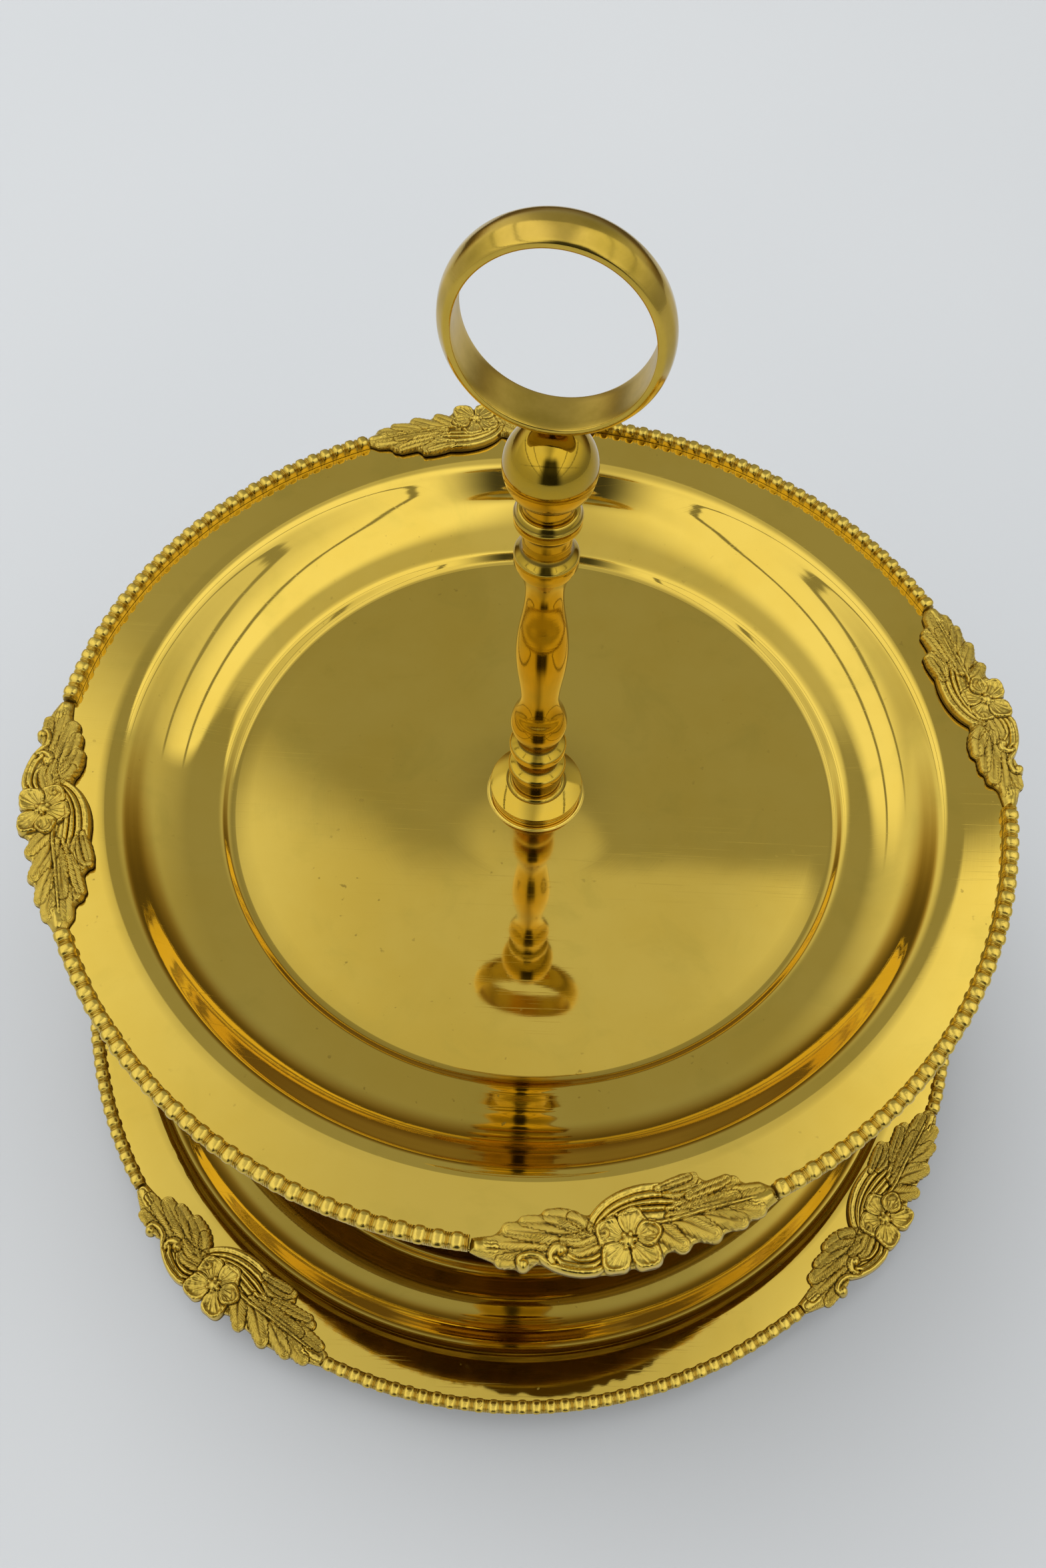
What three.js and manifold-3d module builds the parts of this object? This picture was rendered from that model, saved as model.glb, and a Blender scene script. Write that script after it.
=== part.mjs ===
// Two-tier brass cake stand: two round dished trays on a turned column with a ring handle.
// Millimetres, +Z up. The object stands on z = 0 with its column on the Z axis.
import * as THREE from "three";
import { mergeVertices } from "three/addons/utils/BufferGeometryUtils.js";
import Module from "manifold-3d";

const wasm = await Module();
wasm.setup();

// ---- driving dimensions ----
const LOWER_RADIUS = 151; // outer edge of the bead border, lower tray (12 inch size)
const UPPER_RADIUS = 127; // outer edge of the bead border, upper tray (10 inch size)
const TIER_GAP = 123.4; // lower rim to upper rim
const SHEET = 1.0; // tray sheet thickness
const WELL_DEPTH = 17.2; // rim top down to the plate top
const RIM_BEND_INSET = 18.5; // bead outer edge in to the bend at the top of the well wall
const WALL_FOOT_INSET = 40.5; // bead outer edge in to the foot of the sloping wall
const PLATE_INSET = 44.3; // bead outer edge in to the flat plate
const STEP_HEIGHT = 3.0; // small step between the wall's foot and the plate
const SHEET_EDGE_INSET = 1.2; // the sheet stops this far inside the bead border's outer edge
const SEAT_GAP = 0.05; // clearance between faces that rest on each other
const TRAY_SEGMENTS = 48;
const TURNED_SEGMENTS = 20;
const RING_SEGMENTS = 36;
const STUD_SEGMENTS = 16;

const BOSS_HEIGHT = 6.0; // raised centre of the lower tray, so the screw head clears the table
const BOSS_RADIUS = 15.5;
const BOSS_FOOT_RADIUS = 18.5;
const CENTRE_HOLE = 3.35; // radius of the hole through each tray
const PAD_HEIGHT = 0.3; // low pressed pad in the upper tray that the flange stands on
const PAD_RADIUS = 12.9;

const BEAD_WIDTH = 3.8;
const BEAD_HEIGHT = 3.1;
const BEAD_EDGE_INSET = 0.5; // bead strip's outer side inside the border radius
const ORNAMENT_SPAN_DEG = 31.2;
const ORNAMENT_BASE = 2.3; // thickness of the casting under its relief
const UPPER_PHASE_DEG = 11.2; // middle of the first ornament, counter-clockwise from +X
const LOWER_PHASE_DEG = -37.5;
const BORDERS_PER_TRAY = 4;
const END_GAP = 0.3; // gap where a bead strip butts against an ornament

const FLANGE_RADIUS = 12.5;
const FLANGE_BAND = 4.6;
const FLANGE_HEIGHT = 6.0;
const THREAD_M6 = 3.0; // radius of M6 studs and screws
const THREAD_M5 = 2.5;
const THREAD_CLEARANCE = 0.15;
const COLUMN_FOOT = FLANGE_HEIGHT + SEAT_GAP;
const COLLAR_TOP = 106.7; // top of the highest collar above the tray that the column stands on
const BALL_RADIUS = 9.3;
const BALL_CENTRE = 117.2;
const BALL_FLAT = 126.3; // flat on top of the ball, where the ring is brazed on
const RING_OUTER = 20.3;
const RING_INNER = 17.2;
const RING_EDGE = 18.6; // outside radius at the ring's two edges
const RING_WIDTH = 9.0;
const RING_CENTRE = 146.9;
const RING_TURN_DEG = -6.4;

// ---- levels worked out from them ----
const LOWER_RIM_Z = SHEET + WELL_DEPTH;
const LOWER_BOSS_Z = SHEET + BOSS_HEIGHT;
const UPPER_RIM_Z = LOWER_RIM_Z + TIER_GAP;
const UPPER_PLATE_Z = UPPER_RIM_Z - WELL_DEPTH;
const UPPER_PAD_Z = UPPER_PLATE_Z + PAD_HEIGHT;
const UPPER_PAD_UNDER_Z = UPPER_PAD_Z - SHEET;
const WASHER_THICKNESS = 0.9;
const LOWER_COLUMN_TOP_Z = UPPER_PAD_UNDER_Z - WASHER_THICKNESS - 2 * SEAT_GAP;

function finish(color, roughness) {
  return new THREE.MeshStandardMaterial({ color, roughness, metalness: 1.0 });
}
const polishedBrass = () => finish(0xc9a64a, 0.12);
const castBrass = () => finish(0xb59a54, 0.38);
const steel = () => finish(0x9c9c98, 0.35);
const fibre = () => new THREE.MeshStandardMaterial({ color: 0x6b3326, roughness: 0.8, metalness: 0 });

function toSolid(geometry) {
  const plain = geometry.index ? geometry.toNonIndexed() : geometry.clone();
  plain.deleteAttribute("normal");
  plain.deleteAttribute("uv");
  const merged = mergeVertices(plain, 1e-4);
  const shape = { numProp: 3, vertProperties: merged.attributes.position.array };
  shape.triVerts = new Uint32Array(merged.index.array);
  return new wasm.Manifold(new wasm.Mesh(shape));
}

function toGeometry(solid) {
  const mesh = solid.getMesh();
  const geometry = new THREE.BufferGeometry();
  geometry.setAttribute("position", new THREE.BufferAttribute(new Float32Array(mesh.vertProperties), 3));
  geometry.setIndex(new THREE.BufferAttribute(new Uint32Array(mesh.triVerts), 1));
  return geometry;
}

function named(name, geometry, material) {
  const mesh = new THREE.Mesh(geometry, material);
  mesh.name = name;
  return mesh;
}

// Turns a closed outline of [radius, height] pairs, listed counter-clockwise, about +Z.
function turned(outline, segments = TURNED_SEGMENTS) {
  const points = outline.map(([r, z]) => new THREE.Vector2(r, z));
  const first = points[0];
  if (first.x > 0) points.push(first.clone());
  return new THREE.LatheGeometry(points, segments).rotateX(Math.PI / 2);
}

// ---- trays ----
// Heights are from the rim's top face. The list runs from the centre hole out to the sheet's edge.
function traySkin(radius, raised) {
  const plate = -WELL_DEPTH;
  const centre = raised
    ? [
        [CENTRE_HOLE, plate + BOSS_HEIGHT],
        [BOSS_RADIUS, plate + BOSS_HEIGHT],
        [BOSS_FOOT_RADIUS, plate],
      ]
    : [
        [CENTRE_HOLE, plate + PAD_HEIGHT],
        [PAD_RADIUS, plate + PAD_HEIGHT],
        [PAD_RADIUS + 0.4, plate],
      ];
  const wallFoot = radius - WALL_FOOT_INSET;
  const bend = radius - RIM_BEND_INSET;
  return [
    ...centre,
    [radius - PLATE_INSET, plate],
    [wallFoot - 1.6, plate + STEP_HEIGHT - 0.6],
    [wallFoot, plate + STEP_HEIGHT],
    [wallFoot + 9, plate + STEP_HEIGHT + 2.7],
    [bend - 3.6, -4.3],
    [bend - 1.2, -1.2],
    [bend + 2.4, 0],
    [radius - SHEET_EDGE_INSET, 0],
  ];
}

function tray(name, radius, raised, rimZ) {
  const top = traySkin(radius, raised);
  const under = top.map(([r, z]) => [r, z - SHEET]);
  const outline = [...under, ...top.reverse()];
  const mesh = named(name, turned(outline, TRAY_SEGMENTS), polishedBrass());
  mesh.position.z = rimZ;
  return mesh;
}

// ---- bead border ----
function beadStrip(name, radius, startDeg, spanDeg, rimZ) {
  const outer = radius - BEAD_EDGE_INSET;
  const inner = outer - BEAD_WIDTH;
  const bevel = 0.8;
  const from = THREE.MathUtils.degToRad(startDeg) + bevel / inner;
  const to = THREE.MathUtils.degToRad(startDeg + spanDeg) - bevel / inner;
  const shape = new THREE.Shape();
  shape.absarc(0, 0, outer - bevel, from, to, false);
  shape.absarc(0, 0, inner + bevel, to, from, true);
  const geometry = new THREE.ExtrudeGeometry(shape, {
    depth: BEAD_HEIGHT - 2 * bevel,
    bevelThickness: bevel,
    bevelSize: bevel,
    bevelSegments: 1,
    curveSegments: 9,
  });
  const mesh = named(name, geometry, castBrass());
  mesh.position.z = rimZ + bevel + SEAT_GAP;
  return mesh;
}

// ---- cast ornaments ----
// The casting's outline, for the lower tray's size: [along the rim, out from the border radius].
const ORNAMENT_LENGTH = 80;
const OUTER_EDGE = [
  [0, -0.6],
  [6, 1.8],
  [14, 2.4],
  [17, 0.8],
  [22, 3.1],
  [29, 3.6],
  [32.5, 3.1],
  [36, 4.6],
  [40, 3.0],
  [43.5, 4.2],
  [46.5, 3.2],
  [48, 1.6],
  [53, 2.7],
  [56, 1.7],
  [62, 2.7],
  [70, 1.7],
  [75, 0.7],
  [80, -0.8],
];
const INNER_EDGE = [
  [80, -4.2],
  [77, -6.6],
  [73, -8.6],
  [71, -10.8],
  [66, -12],
  [62.5, -13],
  [61, -15.2],
  [56, -14.4],
  [49, -15.2],
  [42, -15],
  [37, -13],
  [33, -10.6],
  [30, -8.2],
  [26, -10.6],
  [22, -12.2],
  [18, -11.6],
  [16, -10.1],
  [11.5, -10],
  [7.5, -8.2],
  [6.5, -5.8],
  [0, -3.4],
];
const FLOWER_AT = [39.5, -2.2]; // middle of the flower, in the same terms
const FLOWER_RADIUS = 6.2;
const FLOWER_RISE = 3.4;
const SCROLL_AT = [50, -11.2];
const SCROLL_SIZE = [11.5, 3.4, 2.2];

// Maps a point of the outline to the plan view, on a border of the given radius.
function onBorder([along, out], radius, middleDeg) {
  const scale = THREE.MathUtils.degToRad(ORNAMENT_SPAN_DEG) * radius / ORNAMENT_LENGTH;
  const angle = THREE.MathUtils.degToRad(middleDeg) + ((along - ORNAMENT_LENGTH / 2) * scale) / radius;
  const reach = radius + out * scale;
  return new THREE.Vector2(reach * Math.cos(angle), reach * Math.sin(angle));
}

function lump(at, size, radius, middleDeg) {
  const place = onBorder(at, radius, middleDeg);
  const geometry = new THREE.SphereGeometry(1, 9, 6);
  geometry.scale(...size);
  geometry.rotateZ(Math.atan2(place.y, place.x) - Math.PI / 2);
  geometry.translate(place.x, place.y, ORNAMENT_BASE - 0.6);
  return toSolid(geometry);
}

function ornament(name, radius, middleDeg, rimZ) {
  const edge = [...OUTER_EDGE, ...INNER_EDGE].map((point) => onBorder(point, radius, middleDeg));
  const shape = new THREE.Shape(edge.reverse());
  const plate = new THREE.ExtrudeGeometry(shape, { depth: ORNAMENT_BASE, bevelEnabled: false });
  const flower = lump(FLOWER_AT, [FLOWER_RADIUS, FLOWER_RADIUS, FLOWER_RISE], radius, middleDeg);
  const scroll = lump(SCROLL_AT, SCROLL_SIZE, radius, middleDeg);
  const under = new THREE.BoxGeometry(4 * radius, 4 * radius, 10).translate(0, 0, -5);
  const solid = toSolid(plate).add(flower).add(scroll).subtract(toSolid(under));
  const mesh = named(name, toGeometry(solid), castBrass());
  mesh.position.z = rimZ + SEAT_GAP;
  return mesh;
}

// The border of one tray: ornaments at equal spacing with a bead strip between each pair.
function border(tier, radius, phaseDeg, rimZ) {
  const pieces = [];
  const pitchDeg = 360 / BORDERS_PER_TRAY;
  const gapDeg = THREE.MathUtils.radToDeg(END_GAP / radius);
  const stripSpan = pitchDeg - ORNAMENT_SPAN_DEG - 2 * gapDeg;
  for (let i = 0; i < BORDERS_PER_TRAY; i++) {
    const middle = phaseDeg + i * pitchDeg;
    const stripStart = middle + ORNAMENT_SPAN_DEG / 2 + gapDeg;
    pieces.push(ornament(`${tier}_ornament_${i + 1}`, radius, middle, rimZ));
    pieces.push(beadStrip(`${tier}_bead_strip_${i + 1}`, radius, stripStart, stripSpan, rimZ));
  }
  return pieces;
}

// ---- turned column parts ----
// Heights are above the face that the flange stands on.
function flange(name, z) {
  const bore = THREAD_M6 + 2 * THREAD_CLEARANCE;
  const outline = [
    [bore, 0],
    [FLANGE_RADIUS - 0.3, 0],
    [FLANGE_RADIUS, 0.4],
    [FLANGE_RADIUS, FLANGE_BAND],
    [7.4, FLANGE_HEIGHT],
    [bore, FLANGE_HEIGHT],
  ];
  const mesh = named(name, turned(outline), polishedBrass());
  mesh.position.z = z;
  return mesh;
}

// Foot cylinder, two collars, the vase-shaped baluster and two more collars.
const BALUSTER = [
  [6.9, COLUMN_FOOT],
  [6.9, 11.6],
  [7.6, 12.2],
  [7.6, 14.4],
  [5.3, 16],
  [5.3, 20.2],
  [7.35, 21.6],
  [7.35, 23.6],
  [5, 25.4],
  [5, 29],
  [6.5, 29.8],
  [7.1, 33.2],
  [6.4, 36.4],
  [5.1, 40],
  [4.7, 44],
  [5.3, 50.5],
  [6.1, 61],
  [5.6, 69.5],
  [4.5, 76.5],
  [4.3, 81.5],
  [4.9, 86],
  [6.3, 90],
  [6.9, 92.2],
  [6.9, 94],
  [5.3, 96.4],
  [5.7, 101.8],
  [7.05, 103.2],
  [7.05, 105.2],
  [6.2, COLLAR_TOP],
];

function column(name, z, head, topBore, topBoreDepth) {
  const profile = [...BALUSTER, ...head];
  const top = profile[profile.length - 1][1];
  const bore = THREAD_M6 + THREAD_CLEARANCE;
  const outline = [
    [bore, COLUMN_FOOT],
    ...profile,
    [topBore, top],
    [topBore, top - topBoreDepth],
    [0, top - topBoreDepth],
  ];
  const bottomBoreTop = COLUMN_FOOT + 14;
  const mesh = named(name, turned([[0, bottomBoreTop], [bore, bottomBoreTop], ...outline]), polishedBrass());
  mesh.position.z = z;
  return mesh;
}

const SEAT_RADIUS = 11.5; // round seat under the upper tray
function seatHead(top) {
  return [
    [5.4, COLLAR_TOP + 0.6],
    [5.4, top - 4.4],
    [SEAT_RADIUS - 0.8, top - 2.6],
    [SEAT_RADIUS, top - 1.9],
    [SEAT_RADIUS, top],
  ];
}

function washer(name, inner, outer, z, thickness, material) {
  const outline = [
    [inner, 0],
    [outer, 0],
    [outer, thickness],
    [inner, thickness],
  ];
  const mesh = named(name, turned(outline), material);
  mesh.position.z = z;
  return mesh;
}

function stud(name, radius, from, to) {
  const chamfer = 0.5;
  const outline = [
    [0, from],
    [radius - chamfer, from],
    [radius, from + chamfer],
    [radius, to - chamfer],
    [radius - chamfer, to],
    [0, to],
  ];
  return named(name, turned(outline, STUD_SEGMENTS), steel());
}

// Slotted pan-head screw that comes up through the lower tray into the column.
const SCREW_HEAD_Z = 0.9;
const SCREW_HEAD_HEIGHT = 3.3;
const SCREW_HEAD_RADIUS = 5.4;
function baseScrew(headTop) {
  const outline = [
    [0, SCREW_HEAD_Z],
    [SCREW_HEAD_RADIUS - 1.2, SCREW_HEAD_Z],
    [SCREW_HEAD_RADIUS, SCREW_HEAD_Z + 1.4],
    [SCREW_HEAD_RADIUS, headTop],
    [THREAD_M6, headTop],
    [THREAD_M6, LOWER_BOSS_Z + FLANGE_HEIGHT + 11],
    [0, LOWER_BOSS_Z + FLANGE_HEIGHT + 11.6],
  ];
  const slot = new THREE.BoxGeometry(3 * SCREW_HEAD_RADIUS, 1.4, 2.8).translate(0, 0, SCREW_HEAD_Z);
  const solid = toSolid(turned(outline)).subtract(toSolid(slot));
  return named("base_screw", toGeometry(solid), steel());
}

// ---- handle ----
function handleBall(z) {
  const foot = COLLAR_TOP + 2 * SEAT_GAP;
  const neck = 5.4;
  const bore = THREAD_M5 + THREAD_CLEARANCE;
  const boreTop = foot + 8;
  const start = Math.asin(neck / BALL_RADIUS);
  const end = Math.acos((BALL_FLAT - BALL_CENTRE) / BALL_RADIUS);
  const steps = 10;
  const outline = [
    [0, boreTop],
    [bore, boreTop],
    [bore, foot],
    [neck, foot],
  ];
  for (let i = 0; i <= steps; i++) {
    const angle = start + ((Math.PI - end - start) * i) / steps;
    outline.push([BALL_RADIUS * Math.sin(angle), BALL_CENTRE - BALL_RADIUS * Math.cos(angle)]);
  }
  outline.push([0, BALL_FLAT]);
  const mesh = named("handle_ball", turned(outline), polishedBrass());
  mesh.position.z = z;
  return mesh;
}

function handleRing(z) {
  const half = RING_WIDTH / 2;
  const outline = [
    [RING_INNER, -half],
    [RING_EDGE, -half],
    [RING_OUTER - 0.6, -half / 2],
    [RING_OUTER, 0],
    [RING_OUTER - 0.6, half / 2],
    [RING_EDGE, half],
    [RING_INNER, half],
  ];
  const mesh = named("handle_ring", turned(outline, RING_SEGMENTS), polishedBrass());
  mesh.rotation.set(Math.PI / 2, 0, THREE.MathUtils.degToRad(RING_TURN_DEG), "ZYX");
  mesh.position.z = z + RING_CENTRE;
  return mesh;
}

// ---- assembly ----
const group = new THREE.Group();
const screwHeadTop = SCREW_HEAD_Z + SCREW_HEAD_HEIGHT;
const screwWasher = LOWER_BOSS_Z - SHEET - screwHeadTop - 2 * SEAT_GAP;
const lowerColumnHead = seatHead(LOWER_COLUMN_TOP_Z - LOWER_BOSS_Z - SEAT_GAP);
const neckHead = [[5.2, COLLAR_TOP]];

group.add(tray("lower_tray", LOWER_RADIUS, true, LOWER_RIM_Z));
group.add(...border("lower", LOWER_RADIUS, LOWER_PHASE_DEG, LOWER_RIM_Z));
group.add(baseScrew(screwHeadTop));
group.add(washer("base_washer", 3.3, 8, screwHeadTop + SEAT_GAP, screwWasher, steel()));

group.add(flange("lower_flange", LOWER_BOSS_Z + SEAT_GAP));
group.add(column("lower_column", LOWER_BOSS_Z + SEAT_GAP, lowerColumnHead, THREAD_M6 + THREAD_CLEARANCE, 14));
group.add(stud("tier_stud", THREAD_M6, LOWER_COLUMN_TOP_Z - 12, UPPER_PAD_Z + FLANGE_HEIGHT + 11));
group.add(washer("tray_washer", 3.4, 10.5, LOWER_COLUMN_TOP_Z + SEAT_GAP, WASHER_THICKNESS, fibre()));

group.add(tray("upper_tray", UPPER_RADIUS, false, UPPER_RIM_Z));
group.add(...border("upper", UPPER_RADIUS, UPPER_PHASE_DEG, UPPER_RIM_Z));

const upperSeat = UPPER_PAD_Z + SEAT_GAP;
group.add(flange("upper_flange", upperSeat));
group.add(column("upper_column", upperSeat, neckHead, THREAD_M5 + THREAD_CLEARANCE, 12));
group.add(stud("handle_stud", THREAD_M5, upperSeat + COLLAR_TOP - 10, upperSeat + COLLAR_TOP + 7.4));
group.add(handleBall(upperSeat));
group.add(handleRing(upperSeat));

export default group;
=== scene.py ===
"""Looks of a two-tier brass cake stand: bright spun trays, cast borders, turned column and ring handle.

Shapes are worked out in millimetres in the part's own frame, and become metres as each mesh is made.
"""

import math

import bpy
import numpy as np
from mathutils import Matrix, Vector


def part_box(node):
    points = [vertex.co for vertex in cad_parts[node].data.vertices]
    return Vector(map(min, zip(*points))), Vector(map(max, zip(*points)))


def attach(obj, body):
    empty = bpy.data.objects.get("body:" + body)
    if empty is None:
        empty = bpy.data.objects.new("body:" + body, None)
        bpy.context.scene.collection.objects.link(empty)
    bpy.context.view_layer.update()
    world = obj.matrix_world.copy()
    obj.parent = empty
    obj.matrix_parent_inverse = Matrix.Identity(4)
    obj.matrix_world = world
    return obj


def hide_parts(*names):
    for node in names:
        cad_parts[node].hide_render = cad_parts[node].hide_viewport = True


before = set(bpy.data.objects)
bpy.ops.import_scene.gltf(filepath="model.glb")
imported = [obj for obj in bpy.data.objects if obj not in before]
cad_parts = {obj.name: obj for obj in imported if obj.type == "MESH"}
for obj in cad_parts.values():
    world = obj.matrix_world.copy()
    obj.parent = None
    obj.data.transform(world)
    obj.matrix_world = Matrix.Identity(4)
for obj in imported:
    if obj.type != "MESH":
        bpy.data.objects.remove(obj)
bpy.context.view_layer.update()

MM = 0.001
TURN = 2 * math.pi


# -------- levels read from the frame
def top_mm(node):
    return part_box(node)[1].z / MM


def bottom_mm(node):
    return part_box(node)[0].z / MM


SHEET = 1.0
SHEET_EDGE_INSET = 1.2  # the sheet stops this far inside the bead border's outer edge
WELL_DEPTH = 17.2
LOWER_RIM = top_mm("lower_tray")
UPPER_RIM = top_mm("upper_tray")
LOWER_RADIUS = 151.0
UPPER_RADIUS = 127.0
UPPER_SEAT = bottom_mm("upper_flange")
LOWER_SEAT = bottom_mm("lower_flange")
LOWER_COLUMN_TOP = top_mm("lower_column") - LOWER_SEAT
RING_TURN = math.radians(-6.4)
ORNAMENT_SPAN = math.radians(31.2)
UPPER_PHASE = math.radians(11.2)
LOWER_PHASE = math.radians(-37.5)


# -------- small mesh helpers
def enclosed_volume(verts, faces):
    """Six times the volume inside a closed mesh: below zero when its faces point inwards."""
    total = 0.0
    for size in sorted({len(face) for face in faces}):
        ring = np.array([face for face in faces if len(face) == size])
        for k in range(1, size - 1):
            a, b, c = verts[ring[:, 0]], verts[ring[:, k]], verts[ring[:, k + 1]]
            total += np.einsum("ij,ij->", a, np.cross(b, c))
    return total


def new_object(node, verts, faces, sharp_deg=32.0):
    """The look of a CAD node, from points in millimetres; smooth except where it bends past sharp_deg."""
    name = node + "_look"
    verts = np.asarray(verts, float)
    if enclosed_volume(verts, faces) < 0:
        faces = [face[::-1] for face in faces]
    mesh = bpy.data.meshes.new(name)
    mesh.from_pydata((verts * MM).tolist(), [], faces)
    mesh.update()
    mesh.polygons.foreach_set("use_smooth", np.ones(len(mesh.polygons), bool))
    mesh.set_sharp_from_angle(angle=math.radians(sharp_deg))
    obj = bpy.data.objects.new(name, mesh)
    bpy.context.scene.collection.objects.link(obj)
    return obj


def place(obj, body, material, node):
    """Gives a piece its material and its body, and hides the CAD node that it stands for."""
    obj.data.materials.append(material)
    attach(obj, body)
    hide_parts(node)


def point_value(obj, name, values):
    """Stores one number per vertex, for the materials to read."""
    attribute = obj.data.attributes.new(name, "FLOAT", "POINT")
    attribute.data.foreach_set("value", np.asarray(values, np.float32))


def circle_angles(count):
    return np.arange(count) * TURN / count


def catmull(points, steps=6):
    """A smooth curve through the points."""
    p = np.asarray(points, float)
    p = np.vstack([2 * p[0] - p[1], p, 2 * p[-1] - p[-2]])
    out = []
    for a, b, c, d in zip(p, p[1:], p[2:], p[3:]):
        for t in np.arange(steps) / steps:
            bend = (2 * a - 5 * b + 4 * c - d) * t**2 + (3 * b - a - 3 * c + d) * t**3
            out.append(0.5 * (2 * b + (c - a) * t + bend))
    out.append(p[-2])
    return np.array(out)


def rounded(points, radii, steps=4, closed=False):
    """The polyline with each corner eased over the given length, for a turned edge that was polished."""
    p = np.asarray(points, float)
    radii = np.broadcast_to(radii, len(p))
    out = []
    for i, here in enumerate(p):
        before, after = p[i - 1], p[(i + 1) % len(p)]
        room = 0.46 * min(np.linalg.norm(here - before), np.linalg.norm(after - here))
        ease = min(radii[i], room)
        at_end = not closed and i in (0, len(p) - 1)
        if at_end or ease < 0.02:
            out.append(here)
            continue
        a = here + (before - here) * ease / np.linalg.norm(here - before)
        b = here + (after - here) * ease / np.linalg.norm(after - here)
        for t in np.linspace(0, 1, steps + 1):
            out.append((1 - t) ** 2 * a + 2 * t * (1 - t) * here + t**2 * b)
    return np.array(out)


def band(a, b):
    """Faces between two closed rows of vertex numbers; a row of one number is a point on the axis."""
    a_next, b_next = a[1:] + a[:1], b[1:] + b[:1]
    if len(a) == 1 and len(b) == 1:
        return []
    if len(a) == 1:
        return [(a[0], after, here) for here, after in zip(b, b_next)]
    if len(b) == 1:
        return [(here, after, b[0]) for here, after in zip(a, a_next)]
    return list(zip(a, a_next, b_next, b))


def bands(rows):
    return [face for a, b in zip(rows, rows[1:]) for face in band(a, b)]


def lathe(profile, segments, wobble=None):
    """Turns a closed (radius, height) loop about Z. Points on the axis become single vertices."""
    verts, rows = [], []
    angles = circle_angles(segments)
    for r, z in profile:
        count = 1 if r < 1e-6 else segments
        rows.append(list(range(len(verts), len(verts) + count)))
        if count == 1:
            verts.append((0.0, 0.0, z))
            continue
        lift = wobble(r, angles) if wobble else np.zeros(segments)
        verts.extend(zip(r * np.cos(angles), r * np.sin(angles), z + lift))
    return np.array(verts), bands(rows + rows[:1]), rows


def spread(rows, values):
    """One value per vertex, from one value per row of vertices."""
    return np.concatenate([np.full(len(row), value) for row, value in zip(rows, values)])


def profile_wear(profile):
    """Convex (+) and hollow (-) corners of a closed profile, as a smooth number per point."""
    a = profile - np.roll(profile, 1, 0)
    b = np.roll(profile, -1, 0) - profile
    cross = a[:, 0] * b[:, 1] - a[:, 1] * b[:, 0]
    la = np.linalg.norm(a, axis=1) + 1e-6
    lb = np.linalg.norm(b, axis=1) + 1e-6
    bend = np.arcsin(np.clip(cross / (la * lb), -1, 1)) / (0.5 * (la + lb))
    out = np.tanh(bend * 0.8)
    for _ in range(2):
        out = 0.5 * out + 0.25 * (np.roll(out, 1) + np.roll(out, -1))
    return out


def turned_piece(node, profile, segments, z=0.0, wobble=None, sharp_deg=32.0):
    """A turned solid with a 'wear' number: polished where it stands out, dull where it is hollow."""
    profile = np.asarray(profile, float) + np.array([0.0, z])
    verts, faces, rows = lathe(profile, segments, wobble)
    obj = new_object(node, verts, faces, sharp_deg)
    point_value(obj, "wear", spread(rows, profile_wear(profile)))
    return obj


def lattice_noise(x, y, size, seed):
    """Smooth random values from -1 to 1 on a lattice of the given size."""
    rng = np.random.default_rng(seed)
    cells = 64
    table = rng.uniform(-1, 1, (cells, cells))
    gx, gy = x / size, y / size
    ix, iy = np.floor(gx).astype(int), np.floor(gy).astype(int)
    fx, fy = gx - ix, gy - iy
    fx, fy = fx * fx * (3 - 2 * fx), fy * fy * (3 - 2 * fy)
    ix, iy, jx, jy = ix % cells, iy % cells, (ix + 1) % cells, (iy + 1) % cells
    low = table[ix, iy] * (1 - fx) + table[jx, iy] * fx
    high = table[ix, jy] * (1 - fx) + table[jx, jy] * fx
    return low * (1 - fy) + high * fy


# -------- materials
def rgba(color):
    return (*color, 1.0)


def make_node(tree, kind, inputs=None, **settings):
    """Adds a node. Each input is a plain value, or a Field to link to it."""
    n = tree.nodes.new(kind)
    for key, value in settings.items():
        setattr(n, key, value)
    for key, value in (inputs or {}).items():
        if isinstance(value, Field):
            tree.links.new(value.socket, n.inputs[key])
        else:
            n.inputs[key].default_value = value
    return n


def operator(operation, swapped=False):
    """A method of Field that joins it with a number or another Field in one math node."""

    def apply(self, other):
        return self.math(operation, other, self) if swapped else self.math(operation, self, other)

    return apply


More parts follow.
